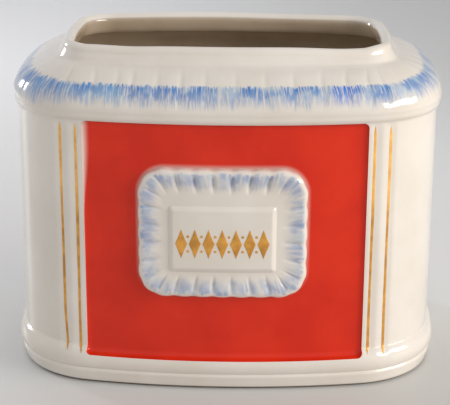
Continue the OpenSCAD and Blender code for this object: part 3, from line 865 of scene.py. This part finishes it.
# %% Crimped border
def frame_loop(w, h, r):
    """Points of a rounded rectangle, in mm from its middle, at the steps of the crimps. It starts
    at the left of the lower side and runs to the right."""
    points = []
    corners = [(w - r, r - h), (w - r, h - r), (r - w, h - r), (r - w, r - h)]
    start = np.array([r - w, -h])
    for i, middle in enumerate(corners):
        turn = (i - 1) * RIGHT_ANGLE
        side, corner = (np.arange(n * CRIMP_STEPS) / (n * CRIMP_STEPS) for n in CRIMPS[2 * (i % 2):][:2])
        around = turn + RIGHT_ANGLE * np.append(corner, 1)
        bow = middle + r * np.stack([np.cos(around), np.sin(around)], 1)
        points += [start + (bow[0] - start) * side[:, None], bow[:-1]]
        start = bow[-1]
    return np.concatenate(points)


def label_border_piece():
    """Loops from the foot of the rim, over the crest, in to the field, and back underneath."""
    crimps = 2 * sum(CRIMPS)
    phase = np.arange(crimps * CRIMP_STEPS) / CRIMP_STEPS
    wander = np.random.default_rng(5)
    strength = (CRIMP_PRESS * wander.uniform(0.75, 1.1, crimps))[phase.astype(int)][:, None]
    wave = np.abs(np.sin(math.pi * phase))[:, None]
    outer = frame_loop(LABEL_W, LABEL_H, LABEL_R)
    crest = frame_loop(LABEL_W + CRIMP_OUT, LABEL_H + CRIMP_OUT, LABEL_R + CRIMP_OUT)
    inner = frame_loop(FIELD_W, FIELD_H, FIELD_R)
    edge = crest + SCALLOP * (wave ** 3) * (outer - crest)
    crimp = CRIMP_DEEP * strength * (0.65 * wave ** 24 + 0.35 * wave ** 3)
    turn = np.linspace(0, RIGHT_ANGLE, 12)
    way_up = BORDER_CREST * (1 - np.cos(turn))
    rise = BORDER_EDGE + (BORDER_T - BORDER_EDGE) * np.sin(turn)
    fall = np.linspace(0, 1, 15)[1:]
    way = np.concatenate([[0], way_up, BORDER_CREST + (1 - BORDER_CREST) * fall])
    height = np.concatenate([[RIM_FOOT], rise, BORDER_T - (BORDER_T - FIELD_T) * smooth_step(0, 1, fall)])
    cut = np.concatenate([[0], smooth_step(0.05, 0.4, way[1:]) * (1 - smooth_step(0.5, 1, way[1:]))])
    out = height[None, :] - crimp * cut[None, :] - PANEL_DEEP
    flat = edge[:, None] + way[None, :, None] * (inner - edge)[:, None]
    flat = np.concatenate([flat, np.stack([inner, edge], 1)], 1)
    out = np.concatenate([out, np.full((len(out), 2), -PANEL_DEEP)], 1)
    points = in_space((flat[..., 0] + LABEL_X) * MM, out * MM, (flat[..., 1] + LABEL_Z) * MM)
    cells, faces = closed_grid(*points.shape[:2])
    around = lengths_round(outer) * MM
    across = np.concatenate([way * BORDER_W, [20, 22, 24]]) * MM  # the last three: underneath
    glaze_map = np.stack([around[cells[..., 0]], across[cells[..., 1]]], -1)
    return add_piece("crimped_border", points, faces, glaze_map, "label_border")


label_border_piece()

# %% [markdown]
# ## Label field and tablet
# Inside the border lies a flat ground, and on it a tablet with bevelled edges. A Bevel modifier
# would give the tablet straight facets; a front that rises smoothly with the distance from its
# edge looks like clay under glaze. Both are patches.

# %% Label field and tablet
TABLET_W, TABLET_H, TABLET_R, TABLET_T, BEVEL = 29.25, 19.0, 2.2, 1.6, 3.0
TABLET_Z = LABEL_Z - 2.5
TABLET_LINES = [0, 0.12, 0.3, 0.55, 0.85, 1.2, 1.6, 2.0, 2.4, 2.8, 3.4]


def level(out):
    """A patch's face at one distance out all over."""
    return lambda x, z, inside: np.full_like(x, out)


patch("label_ground", FIELD_W, FIELD_H, FIELD_R, [0, 0.4, 0.9, 1.6, 2.4, 3.4],
      level(FIELD_OUT), level(-PANEL_DEEP), (LABEL_X, LABEL_Z), "label_field")


def tablet_front(x, z, inside):
    return FIELD_OUT - 0.05 + (TABLET_T + 0.05) * smooth_step(-0.35 * BEVEL, BEVEL, inside)


patch("bevelled_tablet", TABLET_W, TABLET_H, TABLET_R, TABLET_LINES,
      tablet_front, level(FIELD_OUT - 0.5), (LABEL_X, TABLET_Z), "label_tablet")

# %% [markdown]
# ## Gilt ornament
# A row of lozenges with small dots between them sits on the tablet. A flat decal would look
# printed, but gold from a full brush stands a little proud. So each mark is a low pillow of gold,
# built as loops that shrink towards the middle.

# %% Ornament
LOZENGES, LOZENGE_PITCH, LOZENGE_W, LOZENGE_H = 7, 7.4, 3.3, 8.5
DOT_R, ORNAMENT_DROP, GOLD_T = 0.75, 2.2, 0.2
PILLOW = [(1.0, -0.1), (1.0, 0.05), (0.94, 0.6), (0.82, 0.85), (0.5, 1.0)]  # size and height of each loop
TABLET_OUT = FIELD_OUT + TABLET_T


def ornament_piece():
    points, faces, count = [], [], 0
    t = np.linspace(0, 2 * math.pi, 32, endpoint=False)
    c, s = np.cos(t), np.sin(t)
    lean = np.abs(c) + np.abs(s)
    lozenge = np.stack([LOZENGE_W * c, LOZENGE_H * s], 1) / lean[:, None] ** 1.1
    dot = DOT_R * np.stack([c, s], 1)
    first = -(LOZENGES - 1) / 2 * LOZENGE_PITCH
    marks = [(lozenge, (first + i * LOZENGE_PITCH, -ORNAMENT_DROP)) for i in range(LOZENGES)]
    marks += [(dot, (first + (i + 0.5) * LOZENGE_PITCH, -ORNAMENT_DROP + end * LOZENGE_H / 2))
              for i in range(LOZENGES - 1) for end in (-1, 1)]
    per = len(t)
    for shape, middle in marks:
        for share, up in PILLOW:
            x, z = (shape * share + np.array(middle)).T
            points.append(in_space((x + LABEL_X) * MM, (TABLET_OUT + GOLD_T * up) * MM, (z + TABLET_Z) * MM))
        faces += loop_faces(len(PILLOW), per, count)
        top = count + (len(PILLOW) - 1) * per
        faces += [tuple(range(top, top + per)), tuple(range(count, count + per))[::-1]]
        count = top + per
    points = np.concatenate(points)
    return add_piece("gilt_lozenge_row", points, faces, points[:, ::2], "label_ornament", "gilding")


ornament_piece()

# %% [markdown]
# ## Shared shader groups
# Four effects are used by more than one material: cloudy tone, the ripple of a thick glaze, painted
# shade at the foot's edge, and painted feather strokes. Their nodes could be wired up again in every
# material, but a group is built once, has named sockets, and takes each material's own values.
# Short helpers add the nodes, so that the wiring reads like a sum.

# %% Node helpers
class Group:
    """A shader node group whose sockets are all numbers. inputs gives each its usual value."""

    def __init__(self, name, inputs, outputs):
        self.tree = bpy.data.node_groups.new(name, "ShaderNodeTree")
        for socket, value in inputs.items():
            made = self.tree.interface.new_socket(socket, in_out="INPUT", socket_type="NodeSocketFloat")
            made.default_value = value
        for socket in outputs:
            self.tree.interface.new_socket(socket, in_out="OUTPUT", socket_type="NodeSocketFloat")
        self.given = self.tree.nodes.new("NodeGroupInput").outputs
        self.result = self.tree.nodes.new("NodeGroupOutput").inputs


def connect(tree, source, socket):
    """Gives a socket its value: a number or colour as it is, another node's output by a link."""
    if isinstance(source, (int, float, tuple)):
        socket.default_value = source
    else:
        tree.links.new(source, socket)


def add_node(tree, kind, values=None, links=None):
    node = tree.nodes.new(kind)
    for key, value in (values or {}).items():
        setattr(node, key, value)
    for socket, source in (links or {}).items():
        connect(tree, source, node.inputs[socket])
    return node


def maths(tree, operation, *sources):
    node = add_node(tree, "ShaderNodeMath", {"operation": operation}, dict(enumerate(sources)))
    return node.outputs[0]


def blend_colour(tree, factor, first, second):
    node = add_node(tree, "ShaderNodeMix", {"data_type": "RGBA"}, {0: factor, 6: first, 7: second})
    return node.outputs[2]


def remap(tree, value, low, high, to_low=0.0, to_high=1.0):
    node = add_node(tree, "ShaderNodeMapRange", {"interpolation_type": "SMOOTHSTEP"},
                    {0: value, 1: low, 2: high, 3: to_low, 4: to_high})
    return node.outputs[0]


def near(tree, value, middle, full, gone, at_full=1.0, at_gone=0.0):
    """at_full where value lies within full of middle, at_gone from the distance gone on."""
    off = maths(tree, "ABSOLUTE", maths(tree, "SUBTRACT", value, middle))
    return remap(tree, off, full, gone, at_full, at_gone)


def noise(tree, place, scale, detail, dimensions="3D"):
    node = add_node(tree, "ShaderNodeTexNoise", {"noise_dimensions": dimensions},
                    {"Vector": place, "Scale": scale, "Detail": detail})
    return node.outputs[0]


def glaze_map_of(tree):
    return add_node(tree, "ShaderNodeUVMap", {"uv_map": "glaze_map"}).outputs[0]


def texture_place(tree, name="Object"):
    return add_node(tree, "ShaderNodeTexCoord").outputs[name]


def split(tree, vector):
    """A vector's three numbers."""
    return add_node(tree, "ShaderNodeSeparateXYZ", None, {0: vector}).outputs


# %% [markdown]
# ## Cloudy tone, glaze ripple and painted foot shade
# A glaze lies thicker here and thinner there, and its surface ripples; at the foot's edge, where the
# jar meets the floor, shade is painted in. Image textures could hold all this, but noise in the
# object's own space needs no unwrapping and has no seams.

# %% Cloudy tone, glaze ripple and painted foot shade
def cloud_group():
    """A slow unevenness of tone, as where a glaze lies thicker or thinner."""
    group = Group("cloudy_tone", {"Scale": 40.0}, ["Cloud"])
    t = group.tree
    slow = noise(t, texture_place(t), group.given["Scale"], 3.0)
    t.links.new(remap(t, slow, 0.3, 0.7), group.result["Cloud"])
    return t


def ripple_group():
    """The height of a thick glaze's surface: long waves and a fine orange peel."""
    group = Group("glaze_ripple", {"Waves": 60.0, "Peel": 700.0}, ["Height"])
    t = group.tree
    place = texture_place(t)
    waves = noise(t, place, group.given["Waves"], 1.0)
    peel = noise(t, place, group.given["Peel"], 1.0)
    t.links.new(maths(t, "ADD", waves, maths(t, "MULTIPLY", peel, 0.05)), group.result["Height"])
    return t


def foot_shade_group():
    """Painted shade at the foot's edge, where the jar meets the floor. It is darkest up to the
    height Low and gone at High, and the face that the jar stands on gets none."""
    group = Group("painted_foot_shade", {"Low": 1.2 * MM, "High": 1.9 * MM, "Most": 0.8}, ["Soil"])
    t, given = group.tree, group.given
    height, facing = [split(t, texture_place(t, name))[2] for name in ("Object", "Normal")]
    low = remap(t, height, given["Low"], given["High"], given["Most"], 0.0)
    t.links.new(maths(t, "MULTIPLY", low, remap(t, facing, -0.95, -0.85)), group.result["Soil"])
    return t


CLOUD, RIPPLE, FOOT_SHADE = cloud_group(), ripple_group(), foot_shade_group()
print("groups:", [group.name for group in (CLOUD, RIPPLE, FOOT_SHADE)])

# %% [markdown]
# ## Feather strokes
# The blue edge was feathered with a brush: strokes side by side, full where the brush was set
# down and running out below. They could be painted onto a picture, but strokes worked out on the
# glaze map stay sharp from close by and keep their width all round the jar. The map is cut into
# narrow cells, each with a stroke of its own, and four such layers lie over each other.

# %% Feather strokes
STROKE_LAYERS = [(1.0, 1.0), (1.37, -0.6), (0.71, 0.4), (1.9, 0.2)]  # pitch and slant of each layer
LAYER_SHIFT = 31.7  # cells from one layer to the next, so that no two layers have the same strokes
STREAK_WIDE = 0.22  # a streak's width, as a share of its length


def feather_layer(t, given, u, v, share, layer, pitch, lean):
    """One layer of strokes, each in a cell of its own: where it starts, where it stops, how dark."""
    leaned = maths(t, "ADD", u, maths(t, "MULTIPLY", v, maths(t, "MULTIPLY", given["Slant"], lean)))
    cell = maths(t, "DIVIDE", leaned, maths(t, "MULTIPLY", given["Pitch"], pitch))
    cell = maths(t, "ADD", cell, LAYER_SHIFT * layer)
    number = maths(t, "FLOOR", cell)
    chance = add_node(t, "ShaderNodeTexWhiteNoise", {"noise_dimensions": "1D"}, {"W": number})
    a, b, c = add_node(t, "ShaderNodeSeparateColor", None, {0: chance.outputs["Color"]}).outputs
    begin = maths(t, "MULTIPLY", given["Ragged"], a)
    starts = remap(t, share, maths(t, "SUBTRACT", begin, 0.06), maths(t, "ADD", begin, 0.06))
    stops = remap(t, share, remap(t, b, 0.0, 1.0, 0.35, 0.8), remap(t, b, 0.0, 1.0, 0.65, 1.1), 1.0, 0.0)
    body = near(t, maths(t, "FRACT", cell), 0.5, 0.10, 0.48)
    stroke = maths(t, "MULTIPLY", maths(t, "MULTIPLY", starts, stops), body)
    return maths(t, "MULTIPLY", stroke, remap(t, c, 0.0, 0.9, 0.25, 1.0))


def feather_group():
    """Brush strokes across a band of the glaze map. They start close together at Start, with the
    brush full, and thin out towards End."""
    group = Group("feather_strokes", {"Pitch": 1.2 * MM, "Start": 0.0, "End": 10 * MM, "Ragged": 0.2,
                                      "Slant": 0.14, "Patch": 90.0}, ["Strokes", "Fullness"])
    t, given = group.tree, group.given
    glaze_map = glaze_map_of(t)
    u, v, _ = split(t, glaze_map)
    width = maths(t, "SUBTRACT", given["End"], given["Start"])
    share = maths(t, "DIVIDE", maths(t, "SUBTRACT", v, given["Start"]), width)
    strokes = 0.0
    for layer, (pitch, lean) in enumerate(STROKE_LAYERS):
        strokes = maths(t, "MAXIMUM", strokes, feather_layer(t, given, u, v, share, layer, pitch, lean))
    drawn = add_node(t, "ShaderNodeVectorMath", {"operation": "MULTIPLY"},
                     {0: glaze_map, 1: (1.0, STREAK_WIDE, 1.0)}).outputs[0]
    streaks = noise(t, drawn, maths(t, "DIVIDE", 0.9, given["Pitch"]), 2.0, "2D")
    wash = maths(t, "MULTIPLY", remap(t, share, 0.0, 0.22), remap(t, share, 0.45, 1.0, 0.8, 0.0))
    wash = maths(t, "MULTIPLY", wash, remap(t, streaks, 0.38, 0.62, 0.25, 1.0))
    patches = noise(t, glaze_map, given["Patch"], 2.0, "2D")
    strokes = maths(t, "MULTIPLY", strokes, remap(t, share, 0.1, 0.9, 1.0, 0.5))
    t.links.new(maths(t, "MAXIMUM", strokes, wash), group.result["Strokes"])
    t.links.new(remap(t, patches, 0.30, 0.62), group.result["Fullness"])
    return t


FEATHER = feather_group()
print("feather inputs:", [socket.name for socket in FEATHER.interface.items_tree if socket.in_out == "INPUT"])

# %% [markdown]
# ## Finishes
# Every finish on the jar is a Principled BSDF with a colour of its own and a bump from the ripple
# group, so highlights waver as they do on real glaze. Displacement could make real ripples, but they are
# far finer than the mesh. What is the same all over a surface is set on the shader itself.

# %% Finish helpers
def finish(name, base, roughness, metallic=0.0, coat=0.0):
    """A new material and its node tree. complete() links up its colour later."""
    material = bpy.data.materials.new(name)
    material.use_nodes = True
    shader = material.node_tree.nodes["Principled BSDF"]
    shader.inputs["Base Color"].default_value = base
    shader.inputs["Roughness"].default_value = roughness
    shader.inputs["Metallic"].default_value = metallic
    shader.inputs["Coat Weight"].default_value = coat
    shader.inputs["Coat Roughness"].default_value = 0.04
    return material, material.node_tree


def use_group(tree, group, **values):
    return add_node(tree, "ShaderNodeGroup", {"node_tree": group}, values).outputs


def clouded(tree, thin, thick, scale=28.0):
    """A ground whose tone wanders between two colours."""
    return blend_colour(tree, use_group(tree, CLOUD, Scale=scale)["Cloud"], thin, thick)


def complete(material, colour, waves=55.0, peel=600.0, strength=0.35, distance=0.6 * MM):
    """Gives a finish its colour and its ripple."""
    tree = material.node_tree
    shader = tree.nodes["Principled BSDF"]
    tree.links.new(colour, shader.inputs["Base Color"])
    height = use_group(tree, RIPPLE, Waves=waves, Peel=peel)["Height"]
    bump = add_node(tree, "ShaderNodeBump", None,
                    {"Strength": strength, "Distance": distance, "Height": height})
    tree.links.new(bump.outputs[0], shader.inputs["Normal"])
    print(f"{material.name}: {len(tree.nodes)} nodes")
    return material


# %% [markdown]
# ## Ivory glaze
# A warm white glaze covers most of the pot. One flat colour would look like plastic, so the
# cloud group lets it wander between two close tones, and a coat over it gives the glassy shine.

# %% Ivory glaze
IVORY, IVORY_THIN = (0.785, 0.725, 0.655, 1), (0.730, 0.665, 0.585, 1)
# the colour of the painted shade at the foot's lowest edge, where the jar meets the floor
FOOT_SHADE_COLOUR = (0.075, 0.055, 0.035, 1)
GLOSS, COAT = 0.16, 0.5


def ivory_ground(tree):
    return clouded(tree, IVORY_THIN, IVORY)


def foot_shaded(tree, clean, most):
    """The clean colour, with painted shade over it at the foot's edge."""
    return blend_colour(tree, use_group(tree, FOOT_SHADE, Most=most)["Soil"], clean, FOOT_SHADE_COLOUR)


def ivory_glaze():
    material, tree = finish("ivory_glaze", IVORY, GLOSS, coat=COAT)
    # the plinth band's lowest edge gets painted shade, where the jar meets the floor
    return complete(material, foot_shaded(tree, ivory_ground(tree), 0.85))


FINISHES = {"ivory_glaze": ivory_glaze()}

# %% [markdown]
# ## Blue feathered bands
# Blue was brushed along the shoulder's edge and, more faintly, along the label's rim. It could be
# a thin mesh of its own, but this paint melted into the glaze, so it is mixed into the ivory
# where the feather group draws a stroke. It is deepest where the brush had just been dipped.

# %% Ivory glaze with a blue feathered band
BLUE = (0.120, 0.330, 0.600, 1)
BLUE_FULL = (0.028, 0.180, 0.500, 1)
BLUE_DEEP = (0.000, 0.150, 0.600, 1)
LONG_STROKES, LONG_PLACE = 0.35, 42 * MM  # how much longer the strokes are, how far past the dense place


def feathered_glaze(name, start, end, ragged, opacity, pitch, patch_scale, blot=-1.0, dense=-1.0):
    """start is where the full brush was set down, end is where its strokes run out. blot is where
    along the band the brush had just been dipped, dense is where the strokes lie close together.
    A little past the dense place the strokes are longer."""
    material, tree = finish(name, IVORY, GLOSS, coat=COAT)
    along = split(tree, glaze_map_of(tree))[0]
    dipped = near(tree, along, blot, 3 * MM, 12 * MM)
    close = near(tree, along, dense, 25 * MM, 60 * MM)
    longest = end + LONG_STROKES * (end - start)
    longer = near(tree, along, dense - LONG_PLACE, 12 * MM, 45 * MM, longest, end)
    painted = use_group(tree, FEATHER, Start=start, End=longer, Ragged=ragged, Pitch=pitch, Patch=patch_scale)
    blue = blend_colour(tree, painted["Fullness"], BLUE, BLUE_FULL)
    blue = blend_colour(tree, dipped, blue, BLUE_DEEP)
    full = maths(tree, "MAXIMUM", painted["Fullness"], maths(tree, "MAXIMUM", dipped, close))
    cover = maths(tree, "MULTIPLY", painted["Strokes"], remap(tree, full, 0.0, 1.0, opacity * 0.6, opacity))
    return complete(material, blend_colour(tree, cover, ivory_ground(tree), blue))


# %% The two bands
BAND_EDGE_Z, BAND_WIDE = 173.6, 15.0  # in mm: the height of the blue band's upper edge, its width
BRUSH_DIPPED, BRUSH_DENSE = 64 * MM, ROUND - 85 * MM  # along the plan
painted_from = float(np.interp(BAND_EDGE_Z, SHOULDER[:, 1], SHOULDER_LENGTHS * MM))
painted_to = painted_from - BAND_WIDE * MM
print("blue band along the shoulder's curve (mm):", round(painted_from / MM, 1), round(painted_to / MM, 1))
SPECIAL = {
    "lobed_shoulder": feathered_glaze("shoulder_glaze", painted_from, painted_to, 0.18, 1.0, 1.6 * MM, 60.0,
                                      BRUSH_DIPPED, BRUSH_DENSE),
    "crimped_border": feathered_glaze("label_glaze", 1.2 * MM, 11 * MM, 0.35, 0.6, 3.6 * MM, 110.0),
}

# %% [markdown]
# ## Red enamel
# The panels are a strong red under the same gloss. On the front the spray thins out at one upper
# corner, and beside the label the red is lightened by a painted reflection of the label. A painted
# mask could show that, but distances on the glaze map need no picture, and they follow the label
# if it moves.

# %% Red enamel
LABEL_REFLECTION, LABEL_REFLECTION_W = 0.5, 2.4  # how strongly a painted reflection of the label lightens the red beside it, and over how many mm
RED, RED_THIN = (0.720, 0.030, 0.008, 1), (0.640, 0.022, 0.006, 1)


def red_enamel(name, round_label):
    """On the front the spray thins out at one upper corner of the panel, and a painted reflection of
    the label lightens the red beside it."""
    material, tree = finish(name, RED, GLOSS)
    tree.nodes["Principled BSDF"].inputs["Specular IOR Level"].default_value = 0.3
    red = clouded(tree, RED_THIN, RED, 35.0)
    if round_label:
        red = blend_colour(tree, spray_edge_and_reflection(tree), ivory_ground(tree), red)
    return complete(material, red, 45.0, 500.0, 0.3)


def spray_edge_and_reflection(tree):
    """How much red shows: bare at the panel's upper left edge, where the spray stops short, and less
    beside the label, where a painted reflection of it lightens the red, fainter below the label.
    """
    across, up, _ = split(tree, glaze_map_of(tree))
    sprayed = remap(tree, maths(tree, "ADD", across, PANEL_HALF * MM),
                    remap(tree, up, 12 * MM, 50 * MM, 0.0, -1.2 * MM),
                    remap(tree, up, 12 * MM, 55 * MM, 0.5 * MM, 4.2 * MM))
    beyond = []
    for value, middle, half in ((across, LABEL_X, LABEL_W), (up, LABEL_Z - PANEL_MID, LABEL_H)):
        off = maths(tree, "ABSOLUTE", maths(tree, "SUBTRACT", value, middle * MM))
        past = maths(tree, "MAXIMUM", maths(tree, "SUBTRACT", off, (half - LABEL_R) * MM), 0.0)
        beyond.append(maths(tree, "POWER", past, 2.0))
    reach = maths(tree, "SQRT", maths(tree, "ADD", *beyond))
    edge = LABEL_R + CRIMP_OUT
    # painted reflection: a pale band round the label's crimped edge, fainter below it
    reflection = remap(tree, reach, (edge - 0.5) * MM, (edge + LABEL_REFLECTION_W) * MM, LABEL_REFLECTION, 0.0)
    reflection = maths(tree, "MULTIPLY", reflection, remap(tree, up, -35 * MM, 10 * MM, 0.15, 1.0))
    return maths(tree, "SUBTRACT", sprayed, reflection)


FINISHES["red_enamel"] = red_enamel("red_enamel", True)
SPECIAL["back_red_glaze"] = red_enamel("back_red_enamel", False)

# %% [markdown]
# ## Gold and bare clay
# The gold is thin and worn, part metal and part brown; higher up it is brighter, a painted
# highlight. A pure metal would look like new brass, so the shader is only a little metallic. The
# foot ring is bare clay, rough and dusty, with painted shade at its edge where it meets the floor.

# %% Gold and bare clay
# the colour of the painted highlight that brightens the gold lines higher up
GOLD_GLINT = (1.000, 0.560, 0.150, 1)
GOLD, GOLD_WORN = (0.800, 0.390, 0.072, 1), (0.520, 0.240, 0.038, 1)
CLAY, CLAY_DUSTY = (0.560, 0.480, 0.370, 1), (0.400, 0.330, 0.240, 1)


def gilding():
    """Higher up on the jar the gold is painted brighter: a painted highlight that stands in for a lamp's
    glint on the lines. Patches of wear wander along them.
    """
    material, tree = finish("gilding", GOLD, 0.3, metallic=0.25)
    cloud = use_group(tree, CLOUD, Scale=150.0)["Cloud"]
    # how far up the painted highlight has come, from 98 mm to 118 mm
    full = remap(tree, split(tree, texture_place(tree))[2], 98 * MM, 118 * MM)
    brushed = blend_colour(tree, full, GOLD, GOLD_GLINT)
    worn = blend_colour(tree, full, GOLD_WORN, GOLD)
    roughness = remap(tree, cloud, 0.0, 1.0, 0.40, 0.28)
    tree.links.new(roughness, tree.nodes["Principled BSDF"].inputs["Roughness"])
    return complete(material, blend_colour(tree, cloud, worn, brushed), 900.0, 2500.0, 0.15, 0.1 * MM)


def bare_clay():
    material, tree = finish("bisque", CLAY, 0.85)
    clay = clouded(tree, CLAY_DUSTY, CLAY, 900.0)
    # the ring's outer edge gets painted shade, where the jar meets the floor
    return complete(material, foot_shaded(tree, clay, 0.85), 1500.0, 4000.0, 0.5, 0.2 * MM)


FINISHES["gilding"] = gilding()
FINISHES["bisque"] = bare_clay()

# %% [markdown]
# ## Inner glazes
# Inside, the glaze is darker and browner by the mouth, which is painted shade, and paler further
# down, which is painted light where light through the mouth falls on the wall. A lining could be a
# mesh of its own, but a second material slot for the faces that look inwards keeps each piece one solid.

# %% Inner glazes
LIP_LINE = 9.0, 10.4  # mm up the lip's outside, over its crest and down to where its colour changes
# the darker tone by the mouth is painted shade; the paler tone further down is painted light
RIM_INSIDE_SHADED, RIM_INSIDE_SHADED_THIN = (0.500, 0.400, 0.300, 1), (0.420, 0.330, 0.235, 1)
DEEP_INSIDE_LIT, DEEP_INSIDE_LIT_THIN = (0.900, 0.800, 0.640, 1), (0.850, 0.735, 0.560, 1)


def inner_glaze(name, thick, thin):
    material, tree = finish(name, thick, 0.22, coat=0.3)
    return complete(material, clouded(tree, thin, thick))


def lip_glaze():
    """Ivory outside and over the crest, where it meets the inner glaze a little way down inside."""
    material, tree = finish("lip_glaze", IVORY, GLOSS, coat=COAT)
    inner = clouded(tree, RIM_INSIDE_SHADED_THIN, RIM_INSIDE_SHADED)
    lined = remap(tree, split(tree, glaze_map_of(tree))[1], LIP_LINE[0] * MM, LIP_LINE[1] * MM)
    return complete(material, blend_colour(tree, lined, ivory_ground(tree), inner))


SPECIAL["sponged_lip"] = lip_glaze()
RIM_SHADED_GLAZE = inner_glaze("rim_inside_shaded_glaze", RIM_INSIDE_SHADED, RIM_INSIDE_SHADED_THIN)
DEEP_LIT_GLAZE = inner_glaze("deep_inside_lit_glaze", DEEP_INSIDE_LIT, DEEP_INSIDE_LIT_THIN)

# %% [markdown]
# ## Each piece gets its finish
# Materials could be handed out in the Material tab, but a loop forgets no piece. Each piece
# knows its slot from the frame, and four pieces have a glaze of their own in that slot's place.

# %% Give each piece its finish
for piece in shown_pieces():
    piece.data.materials.clear()
    piece.data.materials.append(SPECIAL.get(piece.name, FINISHES[piece["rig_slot"]]))
print("pieces with a glaze of their own:", sorted(SPECIAL))


# %% Line the inside
def line_inside(name, glaze):
    """Gives the faces that look into the jar their own glaze."""
    mesh = bpy.data.objects[name].data
    mesh.materials.append(glaze)
    middle, normal = np.empty(len(mesh.polygons) * 3), np.empty(len(mesh.polygons) * 3)
    mesh.polygons.foreach_get("center", middle)
    mesh.polygons.foreach_get("normal", normal)
    inward = (middle.reshape(-1, 3)[:, :2] * normal.reshape(-1, 3)[:, :2]).sum(1)
    mesh.polygons.foreach_set("material_index", (inward < -1e-5).astype(int))
    print(f"{name}: {int((inward < -1e-5).sum())} of {len(inward)} faces look inwards")


line_inside("cast_wall", DEEP_LIT_GLAZE)
for name in ("under_shoulder_bead", "lobed_shoulder", "upright_neck"):
    line_inside(name, RIM_SHADED_GLAZE)

# %% [markdown]
# ## Floor and backdrop
# The jar stands on paper that runs up into a backdrop in one curve. A floor and a wall could be
# two planes, but they would meet in a line behind the jar.

# %% Floor and backdrop
# the paper's tones are painted light and shade: shadow in front of the jar, and the lamps' light falling off
# far behind it
PAPER, PAPER_NEAR_SHADED = (0.755, 0.755, 0.755, 1), (0.435, 0.415, 0.372, 1)
PAPER_FAR_LEFT_LIT, PAPER_FAR_RIGHT_SHADED = (0.890, 0.890, 0.905, 1), (0.610, 0.610, 0.605, 1)
FLOOR_NEAR, FLOOR_FAR, FLOOR_BEND, FLOOR_HALF, PAPER_TOP = -3.0, 1.65, 0.45, 5.0, 3.2  # in m


def backdrop():
    bend = arc((FLOOR_FAR - FLOOR_BEND, FLOOR_BEND), FLOOR_BEND, -RIGHT_ANGLE, 0, 16)
    line = [(FLOOR_NEAR, 0.0)] + bend.tolist() + [(FLOOR_FAR, PAPER_TOP)]
    points = [(x, y, z) for y, z in line for x in (-FLOOR_HALF, FLOOR_HALF)]
    faces = [(2 * i, 2 * i + 1, 2 * i + 3, 2 * i + 2) for i in range(len(line) - 1)]
    mesh = bpy.data.meshes.new("backdrop")
    mesh.from_pydata(points, [], faces)
    mesh.polygons.foreach_set("use_smooth", [True] * len(faces))
    mesh.materials.append(paper())
    stage = bpy.data.objects.new("backdrop", mesh)
    bpy.context.scene.collection.objects.link(stage)
    return stage


def paper():
    """Painted light and shade on the paper: darker and warmer in front of the jar, for its shadow and
    warm reflection, lighter far behind it on the left and darker far behind it on the right.
    """
    material, tree = finish("backdrop_paper", PAPER, 0.5)
    right, back, _ = split(tree, texture_place(tree))
    far = blend_colour(tree, remap(tree, right, -0.4, 0.4), PAPER_FAR_LEFT_LIT, PAPER_FAR_RIGHT_SHADED)
    tone = blend_colour(tree, remap(tree, back, 0.30, 0.80), PAPER, far)
    nearer = maths(tree, "MULTIPLY", remap(tree, back, -0.12, 0.12, 1.0, 0.0),
                   remap(tree, right, -0.3, 0.3, 0.22, 0.65))
    colour = blend_colour(tree, nearer, tone, PAPER_NEAR_SHADED)
    tree.links.new(colour, tree.nodes["Principled BSDF"].inputs["Base Color"])
    return material


backdrop()

# %% [markdown]
# ## Lamps and world
# A large soft window stands to the right and a small lamp to the left, and a dim world fills the
# shadows. A point lamp would leave hard dots on the glaze; a rectangle leaves the long, soft
# highlights that a window does.

# %% Lamps and world
JAR_MIDDLE = (0, 0, 0.1)


def soft_lamp(name, turn, lift, distance, width, height, watts, colour=(1, 1, 1)):
    """A lamp that looks at the jar's middle from a direction given in degrees: turn round to the
    right of the front, lift above level."""
    light = bpy.data.lights.new(name, "AREA")
    light.shape = "RECTANGLE"
    light.size, light.size_y = width, height
    light.energy = watts
    light.color = colour
    lamp = bpy.data.objects.new(name, light)
    way = Matrix.Rotation(math.radians(turn), 4, "Z") @ Matrix.Rotation(math.radians(90 - lift), 4, "X")
    lamp.matrix_world = Matrix.Translation(JAR_MIDDLE) @ way @ Matrix.Translation((0, 0, distance))
    bpy.context.scene.collection.objects.link(lamp)
    return lamp


soft_lamp("right_window", 66, 17, 1.4, 1.0, 0.36, 13, (1.0, 0.95, 0.88))
soft_lamp("left_lamp", -124, 14, 1.2, 0.14, 0.22, 3.5)
print("lamps:", sorted(light.name for light in bpy.data.lights))

world = bpy.data.worlds.new("room")
world.use_nodes = True
background = world.node_tree.nodes["Background"]
background.inputs["Color"].default_value = (0.97, 0.98, 1.0, 1)
background.inputs["Strength"].default_value = 0.70
bpy.context.scene.world = world
bpy.context.scene.view_settings.view_transform = "Standard"
